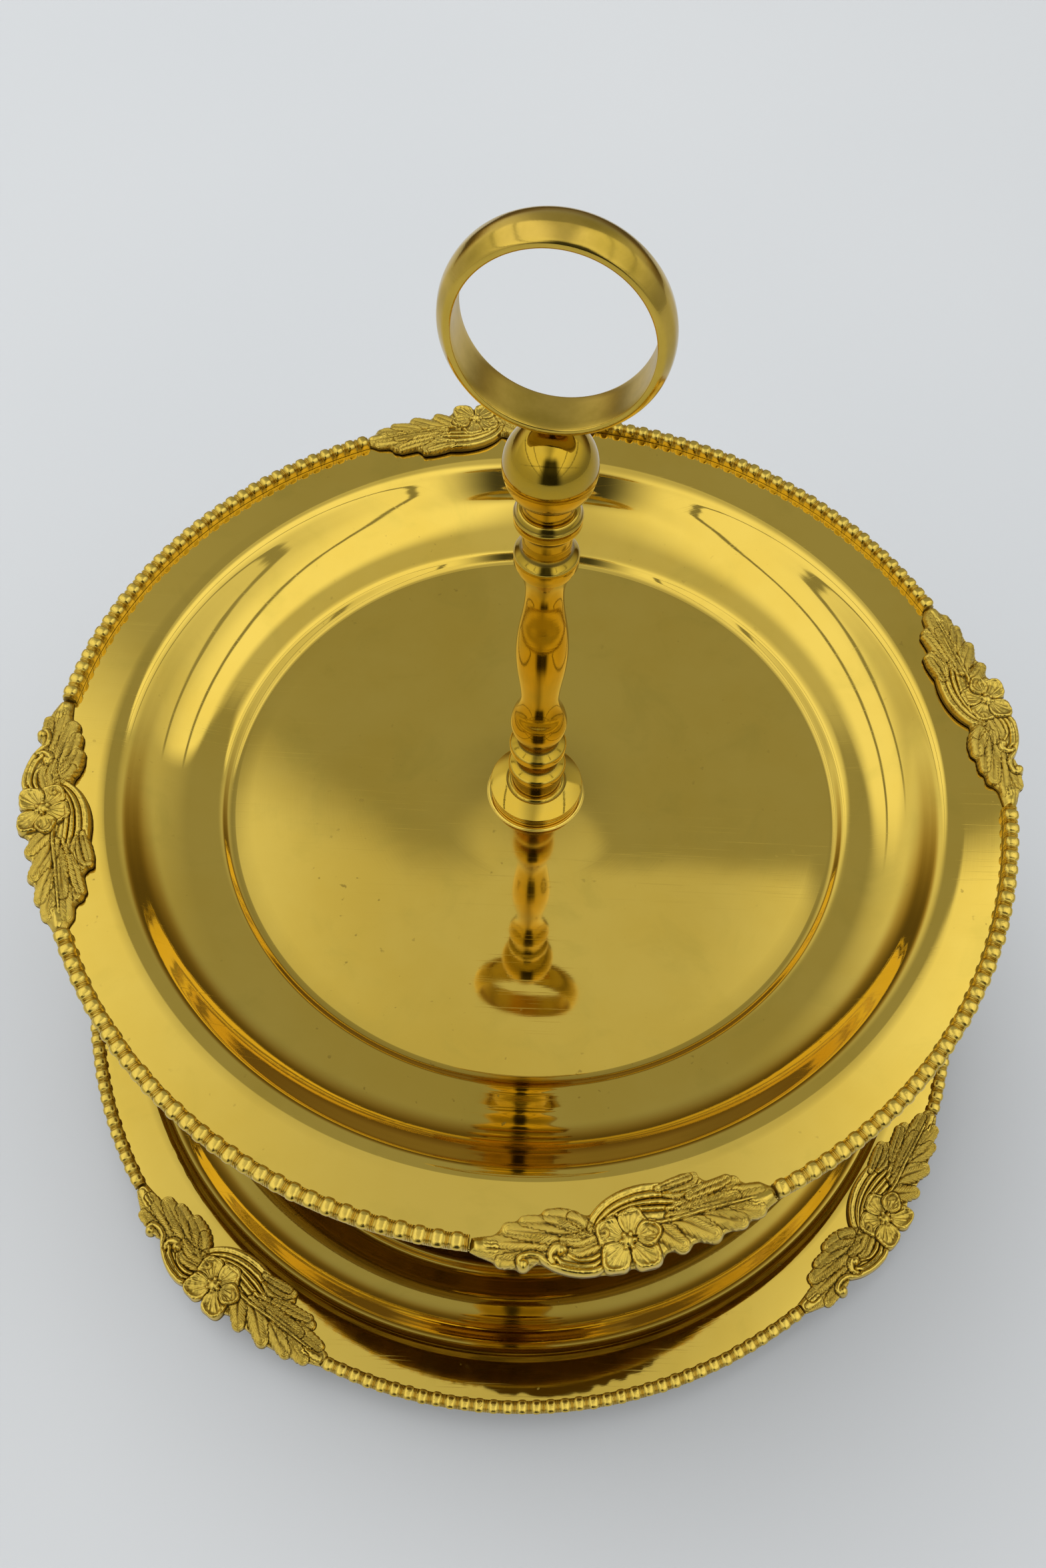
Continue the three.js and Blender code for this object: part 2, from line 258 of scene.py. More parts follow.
class Field:
    """A node's output. Arithmetic on it adds math nodes, so that a material reads as a formula."""

    def __init__(self, tree, socket):
        self.tree = tree
        self.socket = socket

    def math(self, operation, *terms):
        n = make_node(self.tree, "ShaderNodeMath", dict(enumerate(terms)), operation=operation)
        return Field(self.tree, n.outputs[0])

    __add__ = operator("ADD")
    __radd__ = operator("ADD", swapped=True)
    __sub__ = operator("SUBTRACT")
    __rsub__ = operator("SUBTRACT", swapped=True)
    __mul__ = operator("MULTIPLY")
    __rmul__ = operator("MULTIPLY", swapped=True)
    __truediv__ = operator("DIVIDE")
    at_least = operator("MAXIMUM")
    at_most = operator("MINIMUM")

    def __abs__(self):
        return self.math("ABSOLUTE", self)

    def ramp(self, low, high, out_low=0.0, out_high=1.0):
        """Eases from out_low to out_high as the field goes from low to high."""
        inputs = {0: self, 1: low, 2: high, 3: out_low, 4: out_high}
        n = make_node(self.tree, "ShaderNodeMapRange", inputs, interpolation_type="SMOOTHSTEP")
        return Field(self.tree, n.outputs[0])

    def blend(self, first, second):
        """The first number where the field is 0 and the second where it is 1."""
        n = make_node(self.tree, "ShaderNodeMix", {0: self, 2: first, 3: second}, data_type="FLOAT")
        return Field(self.tree, n.outputs[0])

    def mix(self, first, second):
        """The first colour where the field is 0 and the second where it is 1."""
        a, b = (color if isinstance(color, Field) else rgba(color) for color in (first, second))
        n = make_node(self.tree, "ShaderNodeMix", {0: self, 6: a, 7: b}, data_type="RGBA")
        return Field(self.tree, n.outputs[2])


class Paint:
    """Builds one material's nodes, with short names for the ones used often."""

    def __init__(self, name, metallic=0.0):
        self.material = bpy.data.materials.new(name)
        self.material.use_nodes = True
        self.tree = self.material.node_tree
        self.tree.nodes.clear()
        self.output = make_node(self.tree, "ShaderNodeOutputMaterial")
        self.shader = make_node(self.tree, "ShaderNodeBsdfPrincipled")
        self.shader.inputs["Metallic"].default_value = metallic
        self.tree.links.new(self.shader.outputs[0], self.output.inputs[0])
        self.coord = self.add("ShaderNodeTexCoord", output="Object")

    def add(self, kind, inputs=None, output=0, **settings):
        n = make_node(self.tree, kind, inputs, **settings)
        return Field(self.tree, n.outputs[output])

    def noise(self, scale, detail=4.0, rough=0.55, vector=None, distortion=0.0):
        inputs = {"Vector": vector or self.coord, "Scale": scale, "Detail": detail}
        inputs.update({"Roughness": rough, "Distortion": distortion})
        return self.add("ShaderNodeTexNoise", inputs, output="Fac")

    def attribute(self, name):
        return self.add("ShaderNodeAttribute", output="Fac", attribute_name=name)

    def vector(self, x, y, z):
        return self.add("ShaderNodeCombineXYZ", {0: x, 1: y, 2: z})

    def round_coords(self):
        """Radius and angle about the Z axis, and the height."""
        split = make_node(self.tree, "ShaderNodeSeparateXYZ", {0: self.coord})
        x, y, z = (Field(self.tree, socket) for socket in split.outputs)
        radius = x.math("SQRT", x * x + y * y)
        return radius, x.math("ARCTAN2", y, x), z

    def bump(self, height, depth_mm, strength=1.0, normal=None):
        inputs = {"Height": height, "Distance": depth_mm * MM, "Strength": strength}
        if normal:
            inputs["Normal"] = normal
        return self.add("ShaderNodeBump", inputs)

    def finish(self, color, rough, normal):
        for key, field in (("Base Color", color), ("Roughness", rough), ("Normal", normal)):
            self.tree.links.new(field.socket, self.shader.inputs[key])
        return self.material


BRASS_BRIGHT = (0.72, 0.51, 0.088)
BRASS_WARM = (0.68, 0.465, 0.068)
BRASS_OLIVE = (0.55, 0.41, 0.065)
BRASS_ORANGE = (0.50, 0.31, 0.022)
BRASS_BROWN = (0.42, 0.285, 0.035)
BRASS_AMBER = (0.60, 0.405, 0.07)
BRASS_DARK = (0.13, 0.085, 0.02)
BRASS_UNDERSIDE_SHADE = (0.30, 0.20, 0.05)  # painted shade: the sheet's underside is coloured dark for the shade beneath the tray; its dull unpolished finish is in the roughness
STEEL_LIGHT = (0.52, 0.51, 0.49)
STEEL_GREY = (0.40, 0.39, 0.38)
STEEL_ROOT = (0.10, 0.08, 0.06)
RUST = (0.22, 0.10, 0.045)
FIBRE_RED = (0.19, 0.055, 0.035)
FIBRE_DARK = (0.12, 0.035, 0.025)
FIBRE_FUZZ = (0.28, 0.11, 0.07)
PAPER_COOL = (0.60, 0.615, 0.63)
PAPER_PALE = (0.635, 0.645, 0.655)


def scratches(p, turn, length, width, shift):
    """Thin straight hairlines at one angle."""
    inputs = {"Vector": p.coord, "Scale": (length, width, 1.0), "Rotation": (0.0, 0.0, turn)}
    stretched = p.add("ShaderNodeMapping", inputs)
    moved = p.add("ShaderNodeVectorMath", {0: stretched, 1: (shift, shift, 0)}, operation="ADD")
    return p.noise(1.0, 2.0, 0.5, moved).ramp(0.66, 0.74)


def polished_brass(name):
    """Spun sheet, buffed bright: faint circular buffing lines, hairlines, hazy patches, small spots."""
    p = Paint(name, metallic=1.0)
    radius, angle, _ = p.round_coords()
    haze = p.noise(16.0, 5.0, 0.6)
    patch = p.noise(55.0, 4.0, 0.6, distortion=0.6)
    swirl = p.noise(1.0, 3.0, 0.6, p.vector(radius * 2600.0, angle * 2.2, 0.0))
    lines = scratches(p, 0.5, 25.0, 2600.0, 3.1)
    lines = lines.at_least(scratches(p, 1.7, 30.0, 2200.0, 9.4))
    lines = lines.at_least(scratches(p, 2.6, 22.0, 3000.0, 5.8))
    spots = p.noise(420.0, 2.0, 0.5).ramp(0.70, 0.76) * haze.ramp(0.45, 0.62)
    hollow = p.attribute("wear").ramp(-0.05, -0.45)
    below = p.attribute("below")
    color = haze.ramp(0.35, 0.7).mix(BRASS_BRIGHT, BRASS_WARM)
    color = (patch.ramp(0.5, 0.75) * 0.35).mix(color, BRASS_OLIVE)
    color = (spots * 0.45).mix(color, BRASS_DARK)
    color = (hollow * 0.35).mix(color, BRASS_DARK)
    # painted shade: the underside is coloured dark, in patches, for the shade beneath the tray; the added
    # roughness is its dull unpolished finish
    color = below.mix(color, patch.ramp(0.35, 0.7).mix(BRASS_UNDERSIDE_SHADE, BRASS_DARK))
    rough = patch.ramp(0.3, 0.8, 0.022, 0.06) + below * 0.22 + lines * 0.07 + spots * 0.25 + hollow * 0.12
    relief = swirl * 0.5 - lines * 0.3 - spots * 0.5
    dents = p.bump(p.noise(60.0, 2.0, 0.5), 0.032, 0.35)
    return p.finish(color, rough, p.bump(relief, 0.004, 0.6, dents))


def turned_brass(name, base, mellow, line_depth=0.012):
    """Lathe-turned brass: fine rings, polished high spots, tarnished grooves, satin where brushed."""
    p = Paint(name, metallic=1.0)
    radius, angle, z = p.round_coords()
    rings = p.noise(1.0, 3.0, 0.65, p.vector(z * 2400.0, angle * 0.9, radius * 900.0))
    haze = p.noise(70.0, 5.0, 0.6)
    fine = p.noise(900.0, 3.0, 0.6)
    hollow = p.attribute("wear").ramp(-0.03, -0.5)
    edge = p.attribute("wear").ramp(0.05, 0.6)
    satin = p.attribute("satin")
    color = haze.ramp(0.35, 0.7).mix(base, mellow)
    color = (edge * 0.5).mix(color, BRASS_WARM)
    color = (hollow * 0.7).mix(color, BRASS_DARK)
    rough = haze.ramp(0.3, 0.8, 0.06, 0.13) + hollow * 0.3 - edge * 0.04 + satin * 0.24
    brushed = p.noise(1.0, 3.0, 0.7, p.vector(radius * 30.0, z * 30.0, angle * 2.0)) * satin
    relief = rings * 0.7 + fine * 0.3 + brushed
    return p.finish(color, rough, p.bump(relief, line_depth, 0.7))


def cast_brass(name, polish):
    """Sand-cast brass: grainy skin, bright rubbed tops and old dark polish in the hollows."""
    p = Paint(name, metallic=1.0)
    grain = p.noise(1500.0, 5.0, 0.65)
    lumps = p.noise(380.0, 4.0, 0.6)
    haze = p.noise(60.0, 4.0, 0.6)
    pits = p.noise(800.0, 2.0, 0.5).ramp(0.68, 0.74)
    wear = p.attribute("wear") + lumps.ramp(0.3, 0.7, -0.12, 0.12)
    hollow = wear.ramp(0.05, -0.55)
    edge = wear.ramp(0.02, 0.5)
    color = haze.ramp(0.35, 0.7).mix(BRASS_BRIGHT, BRASS_WARM)
    color = (lumps.ramp(0.4, 0.75) * 0.4).mix(color, BRASS_OLIVE)
    color = (edge * 0.6).mix(color, BRASS_BRIGHT)
    color = (hollow * 0.85).mix(color, BRASS_DARK)
    rough = lumps.ramp(0.25, 0.8, 0.24 - 0.06 * polish, 0.36 - 0.08 * polish)
    rough = rough + hollow * 0.3 - edge * 0.08
    veins = p.attribute("veins") * 6.6
    veins = abs(veins.math("SINE", veins))
    relief = grain * 0.35 + lumps * 0.65 - pits * 0.3 + veins * 0.6
    return p.finish(color, rough, p.bump(relief, 0.16 - 0.05 * polish, 0.8))


def steel_metal(name):
    """Zinc-plated steel screw stock, greyed and a little rusty in the roots."""
    p = Paint(name, metallic=1.0)
    haze = p.noise(220.0, 5.0, 0.6)
    fine = p.noise(1800.0, 3.0, 0.6)
    hollow = p.attribute("wear").ramp(0.0, -0.5)
    color = haze.ramp(0.3, 0.7).mix(STEEL_LIGHT, STEEL_GREY)
    color = (haze.ramp(0.55, 0.72) * 0.5).mix(color, RUST)
    color = (hollow * 0.6).mix(color, STEEL_ROOT)
    rough = haze.ramp(0.3, 0.75, 0.28, 0.55)
    return p.finish(color, rough, p.bump(fine, 0.01, 0.6))


def fibre_board(name):
    """Pressed red fibre with a fuzzy cut edge."""
    p = Paint(name)
    haze = p.noise(180.0, 5.0, 0.6)
    fuzz = p.noise(2600.0, 4.0, 0.7)
    color = haze.ramp(0.3, 0.75).mix(FIBRE_RED, FIBRE_DARK)
    color = (fuzz.ramp(0.5, 0.7) * 0.4).mix(color, FIBRE_FUZZ)
    rough = fuzz.ramp(0.3, 0.7, 0.70, 0.92)
    return p.finish(color, rough, p.bump(fuzz, 0.03, 0.8))


def pale_paper(name):
    """Matt background paper with a slow tone change across it."""
    p = Paint(name)
    grain = p.noise(2400.0, 3.0, 0.6)
    color = p.noise(1.3, 2.0, 0.5).ramp(0.3, 0.7).mix(PAPER_COOL, PAPER_PALE)
    return p.finish(color, grain.ramp(0.3, 0.7, 0.75, 0.9), p.bump(grain, 0.02, 0.3))


# -------- trays
HOLE_RADIUS = 3.35
TRAY_SEGMENTS = 300
RIM_DIP = 0.45  # how much lower the rim's inner edge lies
RIM_WIDTH = 13.5
BEND_INSET = 38.0  # border radius in to the foot of the wall


def tray_skin(radius, raised):
    """Top face from the centre hole to the rim's edge, heights below the rim's top face."""
    plate = -WELL_DEPTH
    if raised:
        seat = plate + 6
        centre = [(HOLE_RADIUS, seat), (15.5, seat), (18.5, plate), (28.0, plate)]
        centre = rounded(centre, [0, 2.2, 2.2, 0], 6)
    else:
        seat = plate + 0.3
        centre = [(HOLE_RADIUS, seat), (12.9, seat), (13.3, plate), (28.0, plate)]
        centre = rounded(centre, [0, 0.2, 0.2, 0], 3)
    flat = [(r, plate) for r in np.linspace(34.0, radius - 52.0, 8)]
    step = [(50.0, 0.0), (44.3, 0.0), (42.2, 2.3), (40.4, 2.9), (38.6, 3.25)]
    step = rounded([(radius - inset, plate + rise) for inset, rise in step], [0, 1.3, 0.9, 1.2, 0], 5)
    wall = [
        (38.6, plate + 3.25), (35.0, plate + 4.15), (31.5, -11.45), (27.5, -8.9), (24.4, -6.2),
        (21.9, -3.55), (19.9, -1.45), (18.2, -0.42), (16.1, 0.0),
    ]
    wall = catmull([(radius - inset, height) for inset, height in wall], 4)[1:]
    rim = [(r, 0.0) for r in np.linspace(radius - 14.0, radius - SHEET_EDGE_INSET - 0.5, 6)]
    return np.vstack([centre, flat, step, wall, rim])


def offset_under(top, thickness):
    """The underside: the top face moved down along its own normals."""
    slope = np.gradient(top, axis=0)
    slope /= np.linalg.norm(slope, axis=1)[:, None] + 1e-9
    normal = np.c_[-slope[:, 1], slope[:, 0]]
    return top - normal * thickness


def tray_wobble(seed):
    """Slight unevenness left by spinning and long use."""
    rng = np.random.default_rng(seed)
    waves = [(k, rng.uniform(0, TURN), rng.uniform(0.6, 1.0) / k) for k in (2, 3, 4, 5, 7)]
    rings = [(rng.uniform(20, 34), rng.uniform(0, 6)) for _ in range(2)]

    def lift(r, angles):
        reach = min(1.0, r / 60.0)
        out = sum(a * np.cos(k * angles + f) for k, f, a in waves) * 0.035 * reach
        return out + 0.012 * reach * sum(math.sin(r / w * TURN + f) for w, f in rings)

    return lift


def build_tray(node, radius, raised, rim_z, seed, body):
    """Spun sheet of even thickness with a rounded lip, hidden under the border."""
    top = tray_skin(radius, raised)
    in_from_edge = np.clip((radius - 2.5 - top[:, 0]) / RIM_WIDTH, 0, 1)
    top[:, 1] -= RIM_DIP * in_from_edge * np.clip((top[:, 0] - radius + BEND_INSET) / 20.0, 0, 1)
    under = offset_under(top, SHEET)
    under[:, 1] = np.maximum(under[:, 1], -WELL_DEPTH - SHEET)
    middle = (top[-1] + under[-1]) / 2
    half = SHEET / 2
    lip = [middle + (half * math.cos(a), half * math.sin(a)) for a in np.linspace(-1.1, 1.1, 5)]
    profile = np.vstack([under, lip, top[::-1]])
    obj = turned_piece(node, profile, TRAY_SEGMENTS, rim_z, tray_wobble(seed), 40.0)
    # 'below' marks the underside: the material paints it dark as shade beneath the tray, and makes it
    # rougher for its dull finish
    below = np.concatenate([np.ones(len(under)), np.zeros(len(lip) + len(top))])
    point_value(obj, "below", np.repeat(below, TRAY_SEGMENTS))
    place(obj, body, TRAY_BRASS, node)


# -------- bead and reel border
BEAD_PITCH = 4.16
BEAD_LENGTH = 3.05
BEAD_CENTRE_INSET = 2.6  # border radius in to the middle of the strip
BEAD_HALF = 1.95
BEAD_RISE = 1.5
BEAD_AXIS = 1.55  # height of the beads' centre line over the rim
CAST_LIFT = 0.05  # the castings stand this far off the sheet
STRIP_FOOT = 1.72  # half width of the strip under the beads
GROOVE_SIZE = 0.64  # section between two beads or reels, as a share of a full bead
END_SIZE = 0.55
REELS = (3.24, 3.67)
REEL_SHAPE = ((0.02, GROOVE_SIZE), (0.09, 0.78), (0.2, 0.84), (0.31, 0.78), (0.38, GROOVE_SIZE))


def bead_outline():
    """One unit of the border along its length: share of the pitch and size of the section there."""
    outline = []
    for x in np.cos(np.linspace(math.pi, 0, 13)):
        size = 1.02 * (1 - abs(x) ** 3.4) ** (1 / 2.6)
        outline.append((0.12 + (x + 1) / 2 * BEAD_LENGTH, max(GROOVE_SIZE, size)))
    for start in REELS:
        outline.extend((start + x, size) for x, size in REEL_SHAPE)
    return [(place_in / BEAD_PITCH, size) for place_in, size in outline]


def build_bead_strip(node, radius, start, end, rim_z, seed, body, material):
    """A bead and reel strip between two ornaments; the angles are its ends."""
    rng = np.random.default_rng(seed)
    centre = radius - BEAD_CENTRE_INSET
    count = int(round((end - start) * centre / BEAD_PITCH))
    unit = bead_outline()
    sections = [(start, END_SIZE, 0.0)]
    for i in range(count):
        scale = rng.uniform(0.96, 1.03)
        lean = rng.uniform(-0.08, 0.08)
        for share, size in unit:
            grown = size * scale if size > GROOVE_SIZE + 0.01 else size
            sections.append((start + (end - start) * (i + share) / count, grown, lean))
    sections.append((end, END_SIZE, 0.0))
    half_turn = np.linspace(0, math.pi, 15)
    flat = 1.0 - 0.14 * np.sin(half_turn) ** 5  # tops rubbed a little flat
    base = rim_z + CAST_LIFT
    shoulder = rim_z + 1.0
    verts, rows = [], []
    for angle, size, lean in sections:
        x = np.append(BEAD_HALF * size * np.cos(half_turn) + lean, np.multiply(STRIP_FOOT, [-1, -1, 1, 1]))
        z = rim_z + BEAD_AXIS + BEAD_RISE * size * np.sin(half_turn) * flat
        z = np.append(z, [shoulder, base, base, shoulder])
        rows.append(list(range(len(verts), len(verts) + len(x))))
        verts.extend(np.c_[(centre + x) * np.cos(angle), (centre + x) * np.sin(angle), z])
    obj = new_object(node, verts, bands(rows) + [rows[0][::-1], rows[-1]], 50.0)
    sizes = np.array([size for _, size, _ in sections])
    point_value(obj, "wear", spread(rows, np.clip((sizes - 0.72) * 2.2, -0.6, 0.6)))
    place(obj, body, material, node)


# -------- cast ornament
ORNAMENT_LENGTH = 80.0
GRID = 0.17
GRID_LOW = (-1.5, -17.2)
GRID_HIGH = (81.7, 6.6)
CUT_LEVEL = 0.35  # height at which the casting's edge is cut
LEAF_EDGE = 1.85  # height of a leaf where its rim drops away
EDGE_SLOPE = 6.0
WEB_REACH = 1.9
SAND = ((2.3, 0.10, 0.0), (0.9, 0.06, 0.0), (0.45, 0.035, 3.1))  # size, depth and shift of the rough skin
GROUND = [  # outline of the plate under the leaves
    (0.2, -0.9), (6, 0.9), (14, 1.2), (19, 0.4), (24, 2.4), (31, 3), (38, 2.4), (45, 2.6),
    (49, 1), (56, 1.2), (62, 1.6), (70, 1), (75, 0), (79.8, -0.9), (79.8, -4.3), (75, -6.2),
    (71, -9.6), (65, -11.2), (60, -13.4), (55, -13.6), (49, -14.4), (42, -14.2), (37, -12),
    (33, -9.6), (30, -7.6), (26, -9.6), (21, -11), (16, -9.4), (11, -9), (8, -7.4), (7, -5.6),
    (0.2, -4.3),
]


def spaced(share, values):
    """The values spread evenly over a form's length, read at each share of it."""
    return np.interp(share, np.linspace(0, 1, len(values)), values)


class Relief:
    """A height field over the casting, built up from leaves, rolls and petals by taking the highest.

    u runs along the casting, v outwards from the tray's edge, and h is the height.
    """

    def __init__(self):
        across = [np.arange(low, high, GRID) for low, high in zip(GRID_LOW, GRID_HIGH)]
        self.u, self.v = np.meshgrid(*across, indexing="ij")
        self.h = np.full(self.u.shape, -9.0)
        self.veins = np.zeros(self.u.shape)

    def spine(self, points, steps=7):
        """For each grid point: its share of the way along the curve, signed side, distance, and length."""
        line = catmull(points, steps)
        starts, moves = line[:-1], np.diff(line, axis=0)
        lengths = np.linalg.norm(moves, axis=1)
        run = np.concatenate([[0], np.cumsum(lengths)])
        best = np.full(self.u.shape, 1e9)
        share = np.zeros(self.u.shape)
        side = np.zeros(self.u.shape)
        for start, (du, dv), length, before in zip(starts, moves, lengths, run):
            x, y = self.u - start[0], self.v - start[1]
            t = np.clip((x * du + y * dv) / (length**2 + 1e-9), 0, 1)
            dist = np.hypot(x - t * du, y - t * dv)
            closer = dist < best
            best = np.where(closer, dist, best)
            share = np.where(closer, (before + t * length) / run[-1], share)
            side = np.where(closer, np.sign(du * y - dv * x) * dist, side)
        return share, side, best, run[-1]

    def merge(self, height, outside=None, veins=0.0):
        """Adds a form; the forms under it are pressed down in a thin line all round it."""
        if outside is not None:
            line = 0.5 * np.exp(-((outside / 0.34) ** 2)) * (outside > 0)
            pressed = np.maximum(self.h - line, CUT_LEVEL + 0.7)
            self.h = np.where(self.h > CUT_LEVEL + 0.9, pressed, self.h)
        over = height > self.h
        self.h = np.where(over, height, self.h)
        self.veins = np.where(over, veins, self.veins)

    def merge_steep(self, inside, edge, outside, veins=0.0):
        """Adds a form that falls away steeply where it ends."""
        self.merge(np.where(outside < 0, inside, edge - outside * EDGE_SLOPE), outside, veins)

    def ground(self, outline, level):
        """A low plate inside the outline."""
        inside = np.zeros(self.u.shape, bool)
        dist = np.full(self.u.shape, 1e9)
        for a, b in zip(np.array(outline), np.roll(outline, -1, 0)):
            du, dv = b - a
            x, y = self.u - a[0], self.v - a[1]
            t = np.clip((x * du + y * dv) / (du**2 + dv**2), 0, 1)
            dist = np.minimum(dist, np.hypot(x - t * du, y - t * dv))
            crosses = (a[1] > self.v) != (b[1] > self.v)
            inside ^= crosses & (x < y / (dv + 1e-12) * du)
        signed = np.where(inside, dist, -dist)
        self.merge(np.minimum(level, 0.4 + 3.5 * signed))

    def leaf(self, points, widths, tops, slant=0.0, vein=0.085, pitch=0.95, rib=0.42):
        """One acanthus lobe: two swelling halves, a midrib furrow, slanted veins, a toothed edge."""
        share, side, dist, length = self.spine(points)
        along = share * length
        width = spaced(share, widths)
        top = spaced(share, tops)
        run = along - (1.5 + slant * np.sign(side)) * np.abs(side)
        width = width * (1.04 + 0.07 * np.cos(TURN * run / (2.0 * pitch)))
        off = dist / width
        swell = 0.55 * np.sqrt(np.clip(1 - off**2.6, 0, 1))
        swell += 0.45 * np.clip(1 - ((off - 0.5) / 0.55) ** 2, 0, 1)
        inside = LEAF_EDGE + (top - LEAF_EDGE) * swell
        cut = (0.5 + 0.5 * np.cos(TURN * run / pitch)) ** 2
        inside -= 2.0 * vein * cut * np.clip(off * 3, 0, 1) * np.clip(along, 0, 1)
        inside -= rib * np.exp(-((side / 0.26) ** 2)) * np.clip(1.3 - share, 0, 1)
        self.merge_steep(inside, LEAF_EDGE, dist - width, run)

    def roll(self, edge, points, widths, tops, groove=0.0):
        """A rounded ridge, as in the scrolls, with an optional groove along its top."""
        share, side, dist, _ = self.spine(points, 9)
        width = spaced(share, widths)
        top = spaced(share, tops)
        inside = edge + (top - edge) * np.sqrt(np.clip(1 - (dist / width) ** 2, 0, 1))
        inside -= groove * np.exp(-((side / (0.3 * width)) ** 2))
        self.merge_steep(inside, edge, dist - width)

    def ball(self, centre, radius, top):
        off = np.hypot(self.u - centre[0], self.v - centre[1]) / radius
        foot = top - radius * 1.1
        dome = foot + radius * 1.1 * np.sqrt(np.clip(1 - off**2, 0, 1))
        self.merge(np.where(off < 1, dome, foot - (off - 1) * radius * 3.5))

    def petal(self, centre, heart, length, width, top, rim=0.6):
        """A broad petal: rolled rim, hollow middle, creases that fan out from the heart."""
        angle = math.atan2(centre[1] - heart[1], centre[0] - heart[0])
        x, y = self.u - centre[0], self.v - centre[1]
        along = x * math.cos(angle) + y * math.sin(angle)
        across = -x * math.sin(angle) + y * math.cos(angle)
        fan = np.arctan2(across, along + length * 1.3)
        off = np.hypot(along / length, across / width) / (1 + 0.07 * np.cos(fan * 9.0))
        toward = np.clip(0.5 - 0.55 * along / length, 0, 1)
        curl = rim * (1 - 0.85 * toward) * np.exp(-(((off - 0.83) / 0.14) ** 2))
        bowl = top - 0.85 + 0.30 * off**2 - 0.15 * toward
        crease = 0.11 * np.cos(fan * 26) * np.clip(1.15 - off, 0, 1)
        outside = (off - 1) * width
        body = np.where(off < 1, bowl + curl + crease, top - 0.8 - outside * 5.0)
        self.merge(body, outside, fan * 3.0)

    def fill_and_trim(self):
        """Closes pinholes and drops crumbs, so that the casting is one piece."""
        inside = self.h > CUT_LEVEL
        holes = ~inside & ~flood(~inside, (0, 0))
        self.h[holes] = CUT_LEVEL + 0.1
        inside |= holes
        seed = tuple(int((at - low) / GRID) for at, low in zip((40, -8), GRID_LOW))
        self.h[inside & ~flood(inside, seed)] = -1.0


def flood(mask, start):
    """The part of the mask that joins up with the start cell."""
    found = np.zeros(mask.shape, bool)
    found[start] = mask[start]
    while True:
        grown = found.copy()
        grown[1:] |= found[:-1]
        grown[:-1] |= found[1:]
        grown[:, 1:] |= found[:, :-1]
        grown[:, :-1] |= found[:, 1:]
        grown &= mask
        if (grown == found).all():
            return found
        found = grown


def carve_tabs(r):
    """The ground plate, and the rounded tabs that meet the bead strips."""
    r.ground(GROUND, 1.75)
    r.roll(1.5, [(1.7, -2.6), (6, -2.4)], [1.5, 1.7], [2.5, 2.5])
    r.roll(1.5, [(78.3, -2.6), (74, -2.8)], [1.5, 1.8], [2.5, 2.6])


def carve_short_leaf(r):
    """The short leaf, lobe by lobe from its tip back to the scroll."""
    r.leaf([(24, -2.4), (13, -1.6), (6, -1.4), (2.2, -1.9)], [1.6, 2.3, 1.9, 1.3], [2.7, 2.6, 2.3, 1.9], 0.1)
    r.leaf([(19, -1.6), (13, -0.2), (9.6, 0.4), (8, 0.7)], [1.4, 1.8, 1.7, 1.4], [2.7, 2.6, 2.4, 2.1], -0.15)
    r.leaf([(24, -4.2), (15, -4), (8, -3.9), (4.6, -3.5)], [1.5, 2.2, 1.9, 1.3], [2.8, 2.8, 2.5, 2], 0.1)
    r.leaf([(27, -5), (18, -6), (12, -6.6), (9.4, -6.9)], [1.5, 2.4, 2.2, 1.7], [3, 3, 2.7, 2.1], 0.12)
    r.leaf([(28, -6), (22, -7.8), (16, -8.8), (13.4, -9)], [1.5, 2.2, 1.8, 1.3], [2.9, 2.8, 2.5, 2], 0.12)
    r.leaf([(30, -6), (27, -8.2), (23, -9.6), (20, -10.1)], [1.6, 2.5, 2.4, 1.7], [3, 3.1, 2.8, 2.2], 0.1)
    r.leaf([(30.5, -6.6), (28.2, -8.4), (26, -9.6)], [1.2, 1.7, 1.3], [3, 2.8, 2.4])


def carve_scroll(r):
    """The ball-ended curl, the scroll it grows into, and the two small leaves beside it."""
    curl = [
        (12.4, 1.3), (12.4, -0.2), (14.4, -1.1), (17, -0.9), (19, 0.5), (22, 2), (26.5, 3.1),
        (30.6, 3.35), (33, 2.6),
    ]
    widths = [0.7, 0.75, 0.8, 0.85, 0.95, 1.1, 1.15, 1.1, 0.8]
    r.roll(1.8, curl, widths, [2.9, 2.8, 2.9, 3, 3.1, 3.1, 3.1, 3.1, 2.9])
    r.ball((13.4, 1.3), 1.45, 3.3)
    hook = [(20.6, 0.4), (20.1, -1), (21.2, -2.6), (23, -2.9), (24, -1.8)]
    r.roll(1.8, hook, [0.9, 1, 1.05, 0.9, 0.6], [3, 3, 3.1, 3.1, 2.9])
    r.ball((22.6, -1.9), 1.15, 3.4)
    inner = [(21.2, -0.4), (23, 1.1), (26.4, 2), (30, 2.1), (32.4, 1.2)]
    r.roll(1.9, inner, [0.5, 0.65, 0.65, 0.65, 0.5], [2.6, 2.6, 2.6, 2.6, 2.5])
    inmost = [(24.6, -0.9), (27, 0.5), (30, 0.6), (32.2, -0.2)]
    r.roll(1.9, inmost, [0.5, 0.6, 0.6, 0.5], [2.5, 2.5, 2.5, 2.4])
    r.leaf([(33, -3), (30, -2.2), (27.4, -1.4), (25.4, -1.6)], [1.3, 1.7, 1.5, 1], [2.7, 2.6, 2.5, 2.3])
    r.leaf([(34, -5), (31, -5), (27, -3.9), (23.5, -4.2)], [1.3, 1.7, 1.6, 1.1], [2.8, 2.9, 2.8, 2.6])


